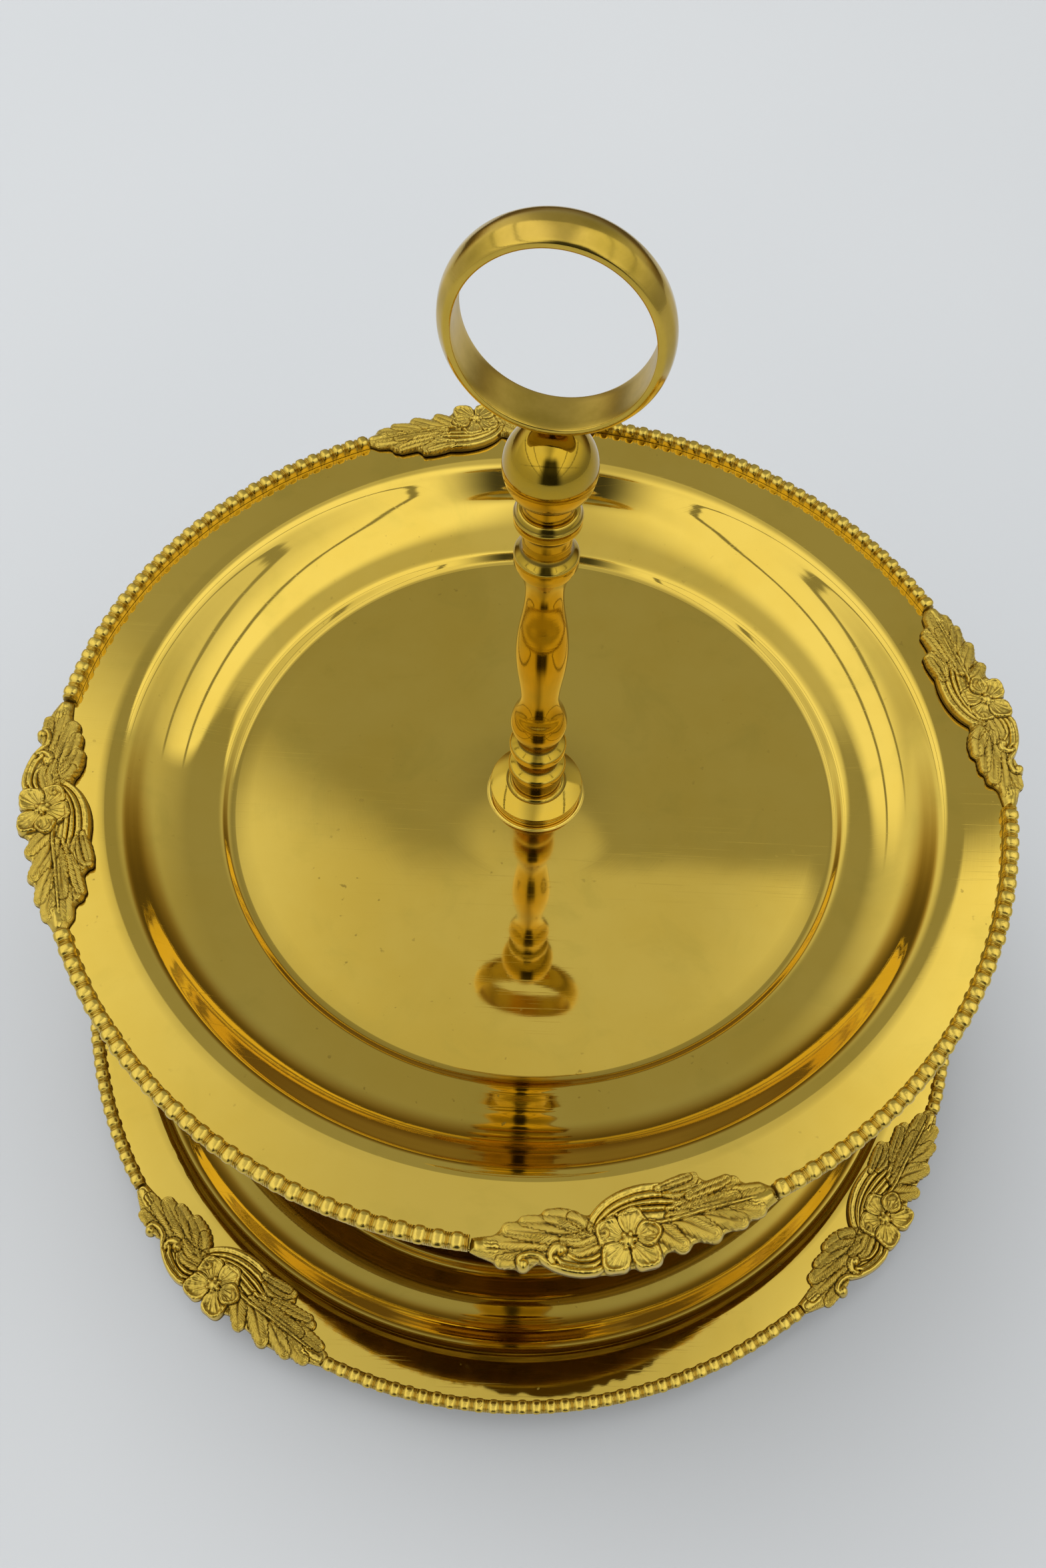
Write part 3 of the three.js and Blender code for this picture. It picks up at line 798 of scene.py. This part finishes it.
def carve_bands(r):
    """The bands that sweep under the flower, and the leaf tip that they end in."""
    outer = [(30.4, -6.4), (32, -9.2), (35.6, -11.9), (40.5, -13.6), (46, -14.1), (52, -13.5), (57, -12.6)]
    widths = [0.8, 1.1, 1.2, 1.25, 1.25, 1.1, 0.8]
    r.roll(1.7, outer, widths, [2.4, 2.4, 2.5, 2.5, 2.5, 2.4, 2.3], 0.2)
    second = [
        (31.6, -6), (33.6, -8.5), (37, -10.7), (41.6, -12), (47, -12.3), (52.4, -11.5),
        (57.4, -10.6), (61, -10.8),
    ]
    widths = [0.6, 0.75, 0.85, 0.9, 0.9, 0.85, 0.7, 0.6]
    r.roll(2, second, widths, [2.7, 2.8, 2.8, 2.8, 2.8, 2.8, 2.7, 2.5])
    third = [(33, -6.4), (35.6, -8.5), (39.6, -10), (44.4, -10.6), (49.4, -10.2), (54.4, -9.1), (60, -8.8)]
    widths = [0.5, 0.65, 0.75, 0.75, 0.75, 0.65, 0.5]
    r.roll(2.2, third, widths, [2.8, 2.9, 3, 3, 3, 2.9, 2.7])
    inner = [(38, -8.8), (43, -9.3), (48.6, -8.7), (54, -7.7)]
    r.roll(2.3, inner, [0.5, 0.65, 0.65, 0.5], [2.9, 3.1, 3, 2.8])
    tips = (
        ([(52, -11.4), (57, -11), (60.4, -11.3), (61.6, -12.2)],
         [0.9, 1.6, 1.6, 1.3], [2.6, 3, 2.8, 2.4], -0.3),
        ([(52, -12.6), (56.6, -12.8), (60, -13.2), (61.2, -13.7)],
         [0.8, 1.4, 1.4, 1.2], [2.5, 2.8, 2.6, 2.2], -0.3),
        ([(50, -13.3), (54.6, -13.8), (58.2, -14.1), (59.6, -14.2)],
         [0.7, 1.1, 1.2, 1], [2.4, 2.6, 2.4, 2.1], 0),
    )
    for points, widths, tops, slant in tips:
        r.leaf(points, widths, tops, slant, pitch=0.85)


def carve_long_leaf(r):
    """The inner leaf with a midrib, then the feathery leaf, lobe by lobe from its tip to the stem."""
    inner = [(52, -7.4), (60, -7.9), (67, -8.5), (71.4, -9.5)]
    r.leaf(inner, [1.2, 2, 2, 1.3], [2.8, 3.1, 2.9, 2.2], 0.3, vein=0.12, rib=0.45)
    beside = [(58, -9.4), (63, -10), (68, -10.4), (69.8, -10.6)]
    r.leaf(beside, [1, 1.6, 1.4, 1.1], [2.6, 2.6, 2.4, 2], vein=0.14)
    lobes = (
        ([(66, -4.4), (71.5, -4.3), (76.5, -3.7), (78.8, -3.3)],
         [1.6, 2.3, 2, 1.5], [2.7, 2.7, 2.4, 1.9], -0.25),
        ([(63, -6.2), (69, -6.4), (74, -6), (77, -5.5)],
         [1.3, 2, 1.8, 1.3], [2.8, 2.8, 2.5, 2], 0.2),
        ([(63, -4.6), (67.5, -3.2), (72.4, -1.2), (74.4, -0.7)],
         [1.5, 2.4, 2.2, 1.6], [2.9, 2.9, 2.6, 2.1], 0.15),
        ([(57.5, -5.2), (62, -3.6), (66.8, -0.8), (68.8, 0.1)],
         [1.5, 2.6, 2.4, 1.7], [3, 3, 2.7, 2.2], 0.15),
        ([(54, -6.4), (60, -6.6), (66, -6.3), (70, -6)],
         [1.2, 1.9, 1.9, 1.3], [2.9, 3, 2.9, 2.5], 0.2),
        ([(51.5, -5.6), (55.6, -3.6), (59.6, -0.4), (61.2, 0.8)],
         [1.5, 2.8, 2.7, 1.9], [3.1, 3.1, 2.8, 2.3], 0.15),
        ([(46, -5.2), (48.6, -3.4), (51.6, -0.2), (52.8, 1)],
         [1.4, 2.5, 2.5, 1.8], [3.1, 3.1, 2.8, 2.3], 0.15),
    )
    for points, widths, tops, slant in lobes:
        r.leaf(points, widths, tops, slant)
    stem = [(45, -5.6), (52, -5.2), (60, -5.3), (68, -4.7), (75, -3.9)]
    r.roll(2.3, stem, [0.4, 0.45, 0.4, 0.35, 0.2], [3.1, 3.1, 3, 2.7, 2.2])


def carve_flower(r):
    """Five petals round a heart with six seeds; the last petal stands highest."""
    heart = (39.6, -2.4)
    r.petal((35.2, -5), heart, 3.5, 3.7, 3.1)
    r.petal((41.6, -6.9), heart, 3.3, 3.7, 3.2)
    r.petal((35.9, 1), heart, 3.7, 3.6, 3.3)
    r.petal((43.6, 1.2), heart, 3.7, 3.6, 3.3)
    r.petal((45.2, -3.4), heart, 3.2, 2.9, 3.5, rim=0.9)
    r.ball(heart, 1.7, 3.7)
    for angle in circle_angles(6):
        r.ball((heart[0] + 1.75 * math.cos(angle), heart[1] + 1.75 * math.sin(angle)), 0.62, 3.35)


def carve_ornament():
    r = Relief()
    for carve in (carve_tabs, carve_short_leaf, carve_scroll, carve_bands, carve_long_leaf, carve_flower):
        carve(r)
    r.fill_and_trim()
    return r


def blurred(field, times, own=0.0):
    """The field averaged with its four neighbours, some times over; own is a cell's own share."""
    soft = field.copy()
    for _ in range(times):
        around = soft[:-2, 1:-1] + soft[2:, 1:-1] + soft[1:-1, :-2] + soft[1:-1, 2:]
        soft[1:-1, 1:-1] = own * soft[1:-1, 1:-1] + (1 - own) / 4 * around
    return soft


def relief_wear(h):
    """Convexity of the relief, from the height against its own blurred copy."""
    return np.clip((h - blurred(h, 9, 0.4)) * 2.6, -1, 1)


def snap_edge(u, v, h, inside):
    """Moves the grid points just outside the cut onto it, so that the outline is smooth."""
    sums = np.zeros((3, *u.shape))
    steps = [(i, j) for i in (-1, 0, 1) for j in (-1, 0, 1) if i or j]
    for step in steps:
        share = 0.01 if all(step) else 1.0
        near_in = np.roll(inside, step, (0, 1)) & ~inside
        nu, nv, nh = (np.roll(values, step, (0, 1)) for values in (u, v, h))
        t = np.clip((CUT_LEVEL - h) / (nh - h + 1e-9), 0, 0.95)
        found = np.array([u + (nu - u) * t, v + (nv - v) * t, np.ones(u.shape)])
        sums += np.where(near_in, share * found, 0)
    edge = sums[2] > 0
    weight = np.maximum(sums[2], 1e-9)
    u = np.where(edge, sums[0] / weight, u)
    v = np.where(edge, sums[1] / weight, v)
    return u, v, np.where(edge, CUT_LEVEL, h), edge


def join_four(mask, pick):
    """Each cell joined with its four neighbours, by np.logical_or or np.logical_and."""
    out = mask.copy()
    for step, axis in ((1, 0), (-1, 0), (1, 1), (-1, 1)):
        out = pick(out, np.roll(mask, step, axis))
    return out


def join_eight(mask, pick):
    """Each cell joined with its eight neighbours."""
    for axis in (0, 1):
        mask = pick(pick(mask, np.roll(mask, 1, axis)), np.roll(mask, -1, axis))
    return mask


def web(relief):
    """Low metal that fills the notches between the lobes, as a height field with a soft edge."""
    steps = int(WEB_REACH / GRID)
    margin = steps + 2
    mask = np.pad(relief.h > CUT_LEVEL, margin)
    for pick in (np.logical_or, np.logical_and):
        for k in range(steps):
            join = join_eight if k % 3 == 1 else join_four
            mask = join(mask, pick)
    soft = blurred(mask.astype(float), 10)
    return CUT_LEVEL + (soft[margin:-margin, margin:-margin] - 0.45) * 2.3


def ornament_mesh(relief, seed, worn):
    """The casting's top as points in (along, out, height), quads, and the two values for the material."""
    u, v = relief.u, relief.v
    h = np.maximum(relief.h, web(relief)) if worn else relief.h
    crisp, tall = (0.65, 0.92) if worn else (0.9, 1.0)
    solid = h > CUT_LEVEL
    rough = 0.0
    for k, (size, depth, shift) in enumerate(SAND):
        rough = rough + lattice_noise(u + shift, v, size, seed + k) * depth
    rise = h - CUT_LEVEL
    h = np.where(solid, CUT_LEVEL + rise * tall + rough * np.clip(rise, 0, 1), h)
    soft = np.maximum(blurred(h, 5, 0.5), CUT_LEVEL + 0.02)
    h = np.where(solid, crisp * h + (1 - crisp) * soft, h)
    if worn:  # the ends are filed into plain rounded tabs
        plain = np.clip((u - 73.0) / 3.0, 0, 1) + np.clip((5.5 - u) / 2.5, 0, 1)
        soft = np.maximum(blurred(np.maximum(h, CUT_LEVEL), 14), CUT_LEVEL + 0.05)
        h = np.where(solid, h + plain * (soft - h), h)
    inside = h > CUT_LEVEL
    wear = relief_wear(np.maximum(h, 0.0))
    u, v, h, _ = snap_edge(u, v, h, inside)
    cells = inside[:-1, :-1] | inside[1:, :-1] | inside[:-1, 1:] | inside[1:, 1:]
    used = np.zeros(u.shape, bool)
    for a, b in ((0, 0), (1, 0), (0, 1), (1, 1)):
        used[a : u.shape[0] - 1 + a, b : u.shape[1] - 1 + b] |= cells
    index = np.full(u.shape, -1)
    index[used] = np.arange(used.sum())
    i, j = np.nonzero(cells)
    quads = np.stack([index[i, j], index[i + 1, j], index[i + 1, j + 1], index[i, j + 1]], 1)
    return np.c_[u[used], v[used], h[used]], quads, wear[used], relief.veins[used]


def boundary_loops(quads):
    """The open edges of the quads, chained into loops."""
    edges = np.vstack([quads[:, [0, 1]], quads[:, [1, 2]], quads[:, [2, 3]], quads[:, [3, 0]]])
    key = np.sort(edges, 1)
    order = key[:, 0].astype(np.int64) * 10**7 + key[:, 1]
    _, first, counts = np.unique(order, return_index=True, return_counts=True)
    follow = {}
    for a, b in edges[first[counts == 1]]:
        follow.setdefault(int(a), []).append(int(b))
    loops = []
    while follow:
        start = next(iter(follow))
        loop, here = [start], start
        while True:
            nexts = follow[here]
            there = nexts.pop()
            if not nexts:
                del follow[here]
            if there == start:
                break
            loop.append(there)
            here = there
        loops.append(loop)
    return loops


def build_ornament(node, relief, radius, middle, rim_z, seed, worn, body, material):
    """The relief on top, a short side wall, and a flat closed underside."""
    scale = ORNAMENT_SPAN * radius / ORNAMENT_LENGTH
    top, quads, wear, veins = ornament_mesh(relief, seed, worn)
    loop = max(boundary_loops(quads), key=len)
    foot = list(range(len(top), len(top) + len(loop)))
    points = np.vstack([top, top[loop] * (1, 1, 0)])
    faces = quads.tolist() + band(foot, loop) + [foot[::-1]]
    angle = middle + (points[:, 0] - ORNAMENT_LENGTH / 2) * scale / radius
    reach = radius + points[:, 1] * scale
    z = rim_z + CAST_LIFT + points[:, 2] * (1 + scale) / 2  # small castings keep some of their height
    verts = np.c_[reach * np.cos(angle), reach * np.sin(angle), z]
    obj = new_object(node, verts, faces, 60.0)
    point_value(obj, "wear", np.append(wear, np.full(len(foot), -0.6)))
    point_value(obj, "veins", np.append(veins, np.zeros(len(foot))))
    place(obj, body, material, node)


# -------- turned column parts
BORE = 3.15  # clears the M6 screw and stud
BORE_TOP = 20.05
HANDLE_BORE = 2.65  # clears the M5 stud
FOOT_LEVEL = 6.05  # the column starts just above its flange
EASE = 0.55  # the turner's softening of each corner
TURNED_SEGMENTS = 128
FLANGE = [
    (3.3, 0), (11.8, 0), (12.15, 0.35), (12.15, 1.45), (11.85, 1.7), (12.15, 1.95), (12.15, 2.9),
    (11.9, 3.1), (12.5, 3.35), (12.5, 3.75), (8.2, 5.55), (7.9, 5.5), (7.6, 5.75), (7.3, 6), (3.3, 6),
]
FLANGE_EASE = [0, 0.2, 0.2, 0.12, 0.12, 0.12, 0.12, 0.1, 0.15, 0.25, 0.2, 0.1, 0.1, 0.1, 0]
BALUSTER_FOOT = [
    (6.9, FOOT_LEVEL), (6.9, 11.5), (7.1, 11.75), (7.6, 12.2), (7.6, 14.3), (7.2, 14.75), (5.35, 15.7),
    (5.2, 16.3), (5.15, 18.2), (5.3, 20), (5.6, 20.4), (7.35, 21.4), (7.35, 23.5), (7, 23.95),
    (5.15, 25.1), (4.95, 25.8), (4.95, 28.6), (5.2, 29),
]
BALUSTER_VASE = [
    (6.3, 29.3), (6.75, 30.4), (7.05, 32), (7.1, 33.4), (6.85, 35.1), (6.35, 36.9), (5.6, 38.7),
    (5.05, 40.6), (4.75, 42.6), (4.7, 44.6), (4.95, 47.8), (5.4, 51.6), (5.85, 55.6), (6.1, 59.6),
    (6.1, 63), (5.85, 67), (5.4, 70.8), (4.8, 74.8), (4.4, 78.4), (4.25, 81.4), (4.4, 84),
    (4.9, 86.4), (5.6, 88.4), (6.2, 89.8), (6.35, 90.4),
]
BALUSTER_NECK = [
    (6.9, 91.6), (6.9, 94), (6.6, 94.4), (5.4, 95.5), (5.25, 96.4), (5.2, 98.4), (5.4, 100.6),
    (5.8, 101.7), (7.05, 102.9), (7.05, 105.2), (6.7, 105.6), (6.2, 106.7),
]


def column_profile(head, head_bore, depth):
    """Foot, vase and neck of the baluster, then the head given, with a blind bore at each end."""
    foot = rounded(BALUSTER_FOOT, EASE, 4)
    vase = catmull(BALUSTER_VASE, 4)
    neck = rounded(BALUSTER_NECK + head, EASE, 4)
    top = neck[-1][1]
    inner = [(head_bore, top), (head_bore, top - depth), (0.0, top - depth)]
    below = [(0.0, BORE_TOP), (BORE, BORE_TOP), (BORE, FOOT_LEVEL)]
    return np.vstack([below, foot, vase, neck, inner])


def seat_head(top):
    """The lower column spreads into a round seat for the upper tier."""
    return [
        (5.5, 107.3), (5.4, 107.8), (5.4, top - 4.6), (5.9, top - 3.9), (10.6, top - 2.5),
        (11.4, top - 2.1), (11.5, top - 1.7), (11.5, top - 0.25), (11.25, top),
    ]


def ball_profile():
    """The ball under the ring, with a socket below and a flat braze on top."""
    radius, centre = 9.3, 117.2
    foot, neck = 106.8, 5.4
    brazed = 126.3
    angles = np.linspace(math.asin(neck / radius), math.pi - math.acos((brazed - centre) / radius), 40)
    curve = np.c_[radius * np.sin(angles), centre - radius * np.cos(angles)]
    braze = [(1.7, 126.42), (1.2, 126.52), (0.0, 126.54)]
    inner = [(0.0, foot + 8), (HANDLE_BORE, foot + 8), (HANDLE_BORE, foot)]
    inner += [(neck - 0.2, foot), (neck, foot + 0.2)]
    return np.vstack([inner, curve[1:], braze])


RING_BORE = 17.2
RING_HALF = 4.5  # half the band's width
RING_HEIGHT = 146.9  # of the ring's centre over the upper seat


def build_ring():
    """Flat band bent round, flat inside and rounded outside, with softened edges."""
    crown = [(18.7, 4.15), (19.35, 3.2), (19.95, 2.1), (20.2, 1.0)]
    below = [(r, -y) for r, y in crown]
    outside = catmull(below + [(20.3, 0.0)] + crown[::-1], 3)
    edge = [(RING_BORE, 3.9), (RING_BORE + 0.12, RING_HALF), (18.3, RING_HALF), (18.7, 4.15)]
    lower = rounded([(r, -y) for r, y in edge], [0, 0.35, 0.35, 0], 4)
    upper = lower[::-1] * (1, -1)
    inside = [(RING_BORE, y) for y in (2.6, 1.3, 0.0, -1.3, -2.6)]
    profile = np.vstack([lower, outside[1:-1], upper, inside])
    verts, faces, rows = lathe(profile, 160)
    upright = Matrix.Rotation(RING_TURN, 4, "Z") @ Matrix.Rotation(math.pi / 2, 4, "X")
    raised = Vector((0, 0, UPPER_SEAT + RING_HEIGHT))
    obj = new_object("handle_ring", [upright @ Vector(v) + raised for v in verts], faces, 40.0)
    point_value(obj, "wear", spread(rows, profile_wear(profile)))
    point_value(obj, "satin", spread(rows, np.where(profile[:, 0] < RING_BORE + 0.1, 1.0, 0.25)))
    place(obj, "handle", RING_BRASS, "handle_ring")


# -------- screw, studs and washers
def build_threaded(node, body, radius, pitch, high, low, head=()):
    """A stud or screw shank with a real helical thread; head is a profile that is turned below it."""
    angles = circle_angles(48)
    verts = [(0.0, 0.0, head[0][1] if head else low)]
    rows, wear = [[0]], [0.0]

    def ring(radii, z, value):
        rows.append(list(range(len(verts), len(verts) + len(angles))))
        verts.extend(np.c_[radii * np.cos(angles), radii * np.sin(angles), np.full(len(angles), z)])
        wear.extend(np.broadcast_to(value, len(angles)))

    for r, z in head[1:]:
        ring(r, z, 0.1)
    for z in np.linspace(low, high, int((high - low) / pitch * 8) + 1):
        phase = (z / pitch - angles / TURN) % 1.0
        crest = np.clip((1 - np.abs(2 * phase - 1)) * 1.25, 0, 1)
        start = 1.0 if head else 0.55
        taper = min(1.0, (z - low) / 0.8 + start, (high - z) / 0.8 + 0.55)
        ring((radius - 0.55 * pitch * (1 - crest)) * taper, z, crest * 1.2 - 0.8)
    rows.append([len(verts)])
    verts.append((0.0, 0.0, high))
    wear.append(0.0)
    obj = new_object(node, verts, bands(rows), 30.0)
    point_value(obj, "wear", wear)
    if head:
        cut_slot(obj, (0.0, 0.0, head[0][1]), (3 * head[-2][0], 1.4, 2.8))
    place(obj, body, STEEL, node)


def cut_slot(obj, centre, size):
    """Cuts the driver slot across a screw head."""
    bpy.ops.mesh.primitive_cube_add(size=1.0, location=Vector(centre) * MM)
    tool = bpy.context.object
    tool.scale = Vector(size) * MM
    bpy.context.view_layer.update()
    modifier = obj.modifiers.new("slot", "BOOLEAN")
    modifier.operation = "DIFFERENCE"
    modifier.object = tool
    modifier.solver = "EXACT"
    graph = bpy.context.evaluated_depsgraph_get()
    cut = bpy.data.meshes.new_from_object(obj.evaluated_get(graph))
    obj.modifiers.clear()
    obj.data = cut
    bpy.data.meshes.remove(tool.data)


def build_washer(node, inner, outer, ease, body, material):
    low = bottom_mm(node)
    thick = top_mm(node) - low
    corners = [(inner, 0.0), (outer, 0.0), (outer, thick), (inner, thick)]
    obj = turned_piece(node, rounded(corners, ease, 4, closed=True), 96, low)
    place(obj, body, material, node)


# -------- build everything
TRAY_BRASS = polished_brass("Bright spun brass")
COLUMN_BRASS = turned_brass("Turned brass", BRASS_ORANGE, BRASS_BROWN)
RING_BRASS = turned_brass("Ring brass", BRASS_AMBER, BRASS_BROWN, 0.016)
CAST_LOWER = cast_brass("Cast brass", 0.0)
CAST_UPPER = cast_brass("Cast brass, rubbed", 1.0)
STEEL = steel_metal("Plated steel")
FIBRE = fibre_board("Red fibre")


def build_tiers():
    tiers = (
        ("lower", LOWER_RADIUS, LOWER_RIM, LOWER_PHASE, "base", CAST_LOWER, False, 11),
        ("upper", UPPER_RADIUS, UPPER_RIM, UPPER_PHASE, "upper_tier", CAST_UPPER, True, 57),
    )
    relief = carve_ornament()
    for tier, radius, rim, phase, body, cast, worn, seed in tiers:
        build_tray(f"{tier}_tray", radius, tier == "lower", rim, seed, body)
        gap = 0.3 / radius
        for i in range(4):
            middle = phase + i * TURN / 4
            node = f"{tier}_ornament_{i + 1}"
            build_ornament(node, relief, radius, middle, rim, seed + i, worn, body, cast)
            start = middle + ORNAMENT_SPAN / 2 + gap
            end = start + TURN / 4 - ORNAMENT_SPAN - 2 * gap
            node = f"{tier}_bead_strip_{i + 1}"
            build_bead_strip(node, radius, start, end, rim, seed + 20 + i, body, cast)


def build_column():
    flange = rounded(FLANGE, FLANGE_EASE, 3, closed=True)
    seat = column_profile(seat_head(LOWER_COLUMN_TOP), BORE, 14)
    for node, profile, z, body in (
        ("lower_flange", flange, LOWER_SEAT, "column_foot"),
        ("upper_flange", flange, UPPER_SEAT, "upper_foot"),
        ("lower_column", seat, LOWER_SEAT, "lower_stem"),
        ("upper_column", column_profile([(5.2, 106.7)], HANDLE_BORE, 12), UPPER_SEAT, "upper_stem"),
        ("handle_ball", ball_profile(), UPPER_SEAT, "handle"),
    ):
        obj = turned_piece(node, profile, TURNED_SEGMENTS, z)
        place(obj, body, COLUMN_BRASS, node)
    build_ring()


def build_fixings():
    low = bottom_mm("base_screw")
    shank = low + 3.3
    domed = [(0.0, 0.0), (2.6, 0.0), (4.2, 0.15), (5.0, 0.65), (5.35, 1.3), (5.4, 1.8)]
    head = [(r, low + z) for r, z in domed] + [(5.4, shank - 0.2), (5.25, shank), (3.0, shank)]
    build_threaded("base_screw", "base", 3.0, 1.0, top_mm("base_screw"), shank + 0.05, head)
    build_threaded("tier_stud", "lower_stem", 3.0, 1.0, top_mm("tier_stud"), bottom_mm("tier_stud"))
    build_threaded("handle_stud", "handle_thread", 2.5, 0.8, top_mm("handle_stud"), bottom_mm("handle_stud"))
    build_washer("base_washer", 3.3, 8.0, 0.22, "base", STEEL)
    build_washer("tray_washer", 3.4, 10.5, 0.3, "lower_stem", FIBRE)


# -------- floor, lights and camera
def build_floor():
    """Seamless pale paper, far wider than the view."""
    bpy.ops.mesh.primitive_grid_add(x_subdivisions=24, y_subdivisions=24, size=7.0)
    floor = bpy.context.object
    floor.name = "paper_floor"
    paper = pale_paper("Pale paper")
    floor.data.materials.append(paper)
    build_backdrop(paper)


def build_backdrop(paper):
    """The paper's far side, curved up into a round wall; it only shows when looking to the horizon."""
    start, bend, lift = 2.4, 0.9, 0.0005
    curve = np.linspace(0, math.pi / 2, 13)
    profile = [(start + bend * math.sin(a), bend - bend * math.cos(a)) for a in curve]
    profile += [(start + bend, z) for z in (1.6, 2.6, 4.0, 6.0)]
    angles = circle_angles(96)
    verts = [(r * math.cos(a), r * math.sin(a), z + lift) for r, z in profile for a in angles]
    rows = np.arange(len(verts)).reshape(len(profile), -1).tolist()
    faces = bands(rows[::-1])
    mesh = bpy.data.meshes.new("paper_wall")
    mesh.from_pydata(verts, [], faces)
    mesh.polygons.foreach_set("use_smooth", np.ones(len(faces), bool))
    mesh.materials.append(paper)
    wall = bpy.data.objects.new("paper_wall", mesh)
    bpy.context.scene.collection.objects.link(wall)
    wall.visible_diffuse = False
    wall.visible_glossy = False
    wall.visible_shadow = False


CEILING_LIGHT = 0.69
RIGHT_PANEL_LIGHT = 0.66
LEFT_PANEL_LIGHT = 0.60
LEFT_WINDOW_LIGHT = 0.95
BACK_LIGHT = 0.40
SIDE_WALL_LIGHT = 0.66
BACK_FOOT_LIGHT = 0.12
LEFT_WALL_LIGHT = 0.58
RIGHT_WALL_LIGHT = 0.36
GAP_SHARE = 0.07
COOL_WHITE = (0.97, 0.99, 1.0)
WARM_GLOW = (1.0, 0.74, 0.32)
SIDE_SEAMS = ((-0.78, 0.035, 0.75), (-1.5, 0.09, 0.7), (0.72, 0.035, 0.75), (1.5, 0.1, 0.6))
FRONT_SEAM = (-1.25, 0.06, 0.6)  # each seam: its place, its half width, and how much it darkens


def ceiling_light(px, py, z):
    """The tent's ceiling: two brighter side panels, a darker strip in front, and the cloth's seams."""
    right = (px - py * 0.25).ramp(0.02, 0.30) * RIGHT_PANEL_LIGHT * (1.0 - px.ramp(0.6, 1.5) * 0.6)
    left = (px + py * 0.1).ramp(-0.02, -0.46) * LEFT_PANEL_LIGHT * (1.0 - px.ramp(-1.1, -2.2) * 0.6)
    panels = right.at_least(left) * z.ramp(0.25, 0.58)
    front = py.ramp(-0.35, -0.95) * abs(px).ramp(0.75, 0.35)
    light = CEILING_LIGHT * (1.0 - front * 0.35) + panels
    seams = [(px, seam) for seam in SIDE_SEAMS] + [(py, FRONT_SEAM)]
    for across, (middle, width, depth) in seams:
        light *= 1.0 - abs(across - middle).ramp(width, width * 0.4) * depth
    return light


def build_world():
    """A pale tent: bright side panels, a mid ceiling that stops short of the back, a dark gap in front."""
    world = bpy.data.worlds.new("Tent")
    bpy.context.scene.world = world
    world.use_nodes = True
    tree = world.node_tree
    tree.nodes.clear()
    coord = Field(tree, make_node(tree, "ShaderNodeTexCoord").outputs["Generated"])
    split = make_node(tree, "ShaderNodeSeparateXYZ", {0: coord})
    x, y, z = (Field(tree, socket) for socket in split.outputs)
    px = x / z.at_least(0.12)  # where the direction meets a ceiling one unit up
    py = y / z.at_least(0.12)
    to_right = px.at_least(0.0)
    to_left = (px * -1.0).at_least(0.0).at_most(1.0)
    reach = 0.53 + (to_right - 0.28).at_least(0.0) * 0.4 + (to_left - 0.12).at_least(0.0) * 0.6
    soft = 0.012 + to_left * 0.22 + to_right * 0.05
    over = ((py - reach) / soft).ramp(1.0, -1.0)
    beyond = x.ramp(0.30, 0.80).blend(BACK_LIGHT, SIDE_WALL_LIGHT)
    beyond = x.ramp(-0.15, -0.65).blend(beyond, LEFT_WINDOW_LIGHT)
    dome = over.blend(beyond, ceiling_light(px, py, z))
    behind = y.ramp(0.30, 0.72)
    horizon = x.ramp(0.5, -0.5).blend(RIGHT_WALL_LIGHT, LEFT_WALL_LIGHT)
    horizon = behind.blend(horizon, BACK_FOOT_LIGHT)
    glow = z.ramp(0.04, 0.40).blend(horizon, dome)
    flat = x.math("SQRT", x * x + y * y)
    beside = abs(x) / flat.at_least(0.001)
    gap = beside.ramp(0.54, 0.24) * y.ramp(0.0, -0.25) * z.ramp(0.92, 0.74)
    strength = gap.blend(glow, glow * GAP_SHARE)
    tint = (behind * z.ramp(0.36, 0.10)).mix(COOL_WHITE, WARM_GLOW)
    back = make_node(tree, "ShaderNodeBackground", {"Color": tint, "Strength": strength})
    out = make_node(tree, "ShaderNodeOutputWorld")
    tree.links.new(back.outputs[0], out.inputs[0])


def build_floor_light():
    """A wide soft box over the back left, which only lights matt surfaces."""
    light = bpy.data.lights.new("floor_light", "AREA")
    light.size = 1.6
    light.energy = 15.0
    obj = bpy.data.objects.new("floor_light", light)
    obj.location = (-0.5, 0.7, 1.9)
    obj.rotation_euler = (-obj.location).to_track_quat("-Z", "Y").to_euler()
    obj.visible_glossy = False
    bpy.context.scene.collection.objects.link(obj)


def build_camera():
    """The camera stands in front of the upper tier and looks steeply down."""
    yaw, pitch, roll = 0.0583, 1.0656, 0.0965
    stand = Vector((0.0, -0.1692, 0.4015))
    level = Vector((math.cos(yaw), -math.sin(yaw), 0.0))
    ahead = Vector((math.sin(yaw), math.cos(yaw), 0.0))
    forward = ahead * math.cos(pitch) - Vector((0.0, 0.0, math.sin(pitch)))
    over = level.cross(forward)
    right = level * math.cos(roll) + over * math.sin(roll)
    up = over * math.cos(roll) - level * math.sin(roll)
    data = bpy.data.cameras.new("Camera")
    data.sensor_width = 36.0
    data.lens = 26.92
    data.shift_x = -0.0278
    data.shift_y = 0.0373
    data.clip_start = 0.01
    data.dof.use_dof = False
    cam = bpy.data.objects.new("Camera", data)
    turn = Matrix((right, up, -forward)).transposed()
    cam.matrix_world = Matrix.Translation(stand) @ turn.to_4x4()
    bpy.context.scene.collection.objects.link(cam)
    bpy.context.scene.camera = cam


build_tiers()
build_column()
build_fixings()
build_floor()
build_world()
build_floor_light()
build_camera()

view = bpy.context.scene.view_settings
view.view_transform = "Standard"
view.look = "None"
view.exposure = 0.0
view.gamma = 1.0
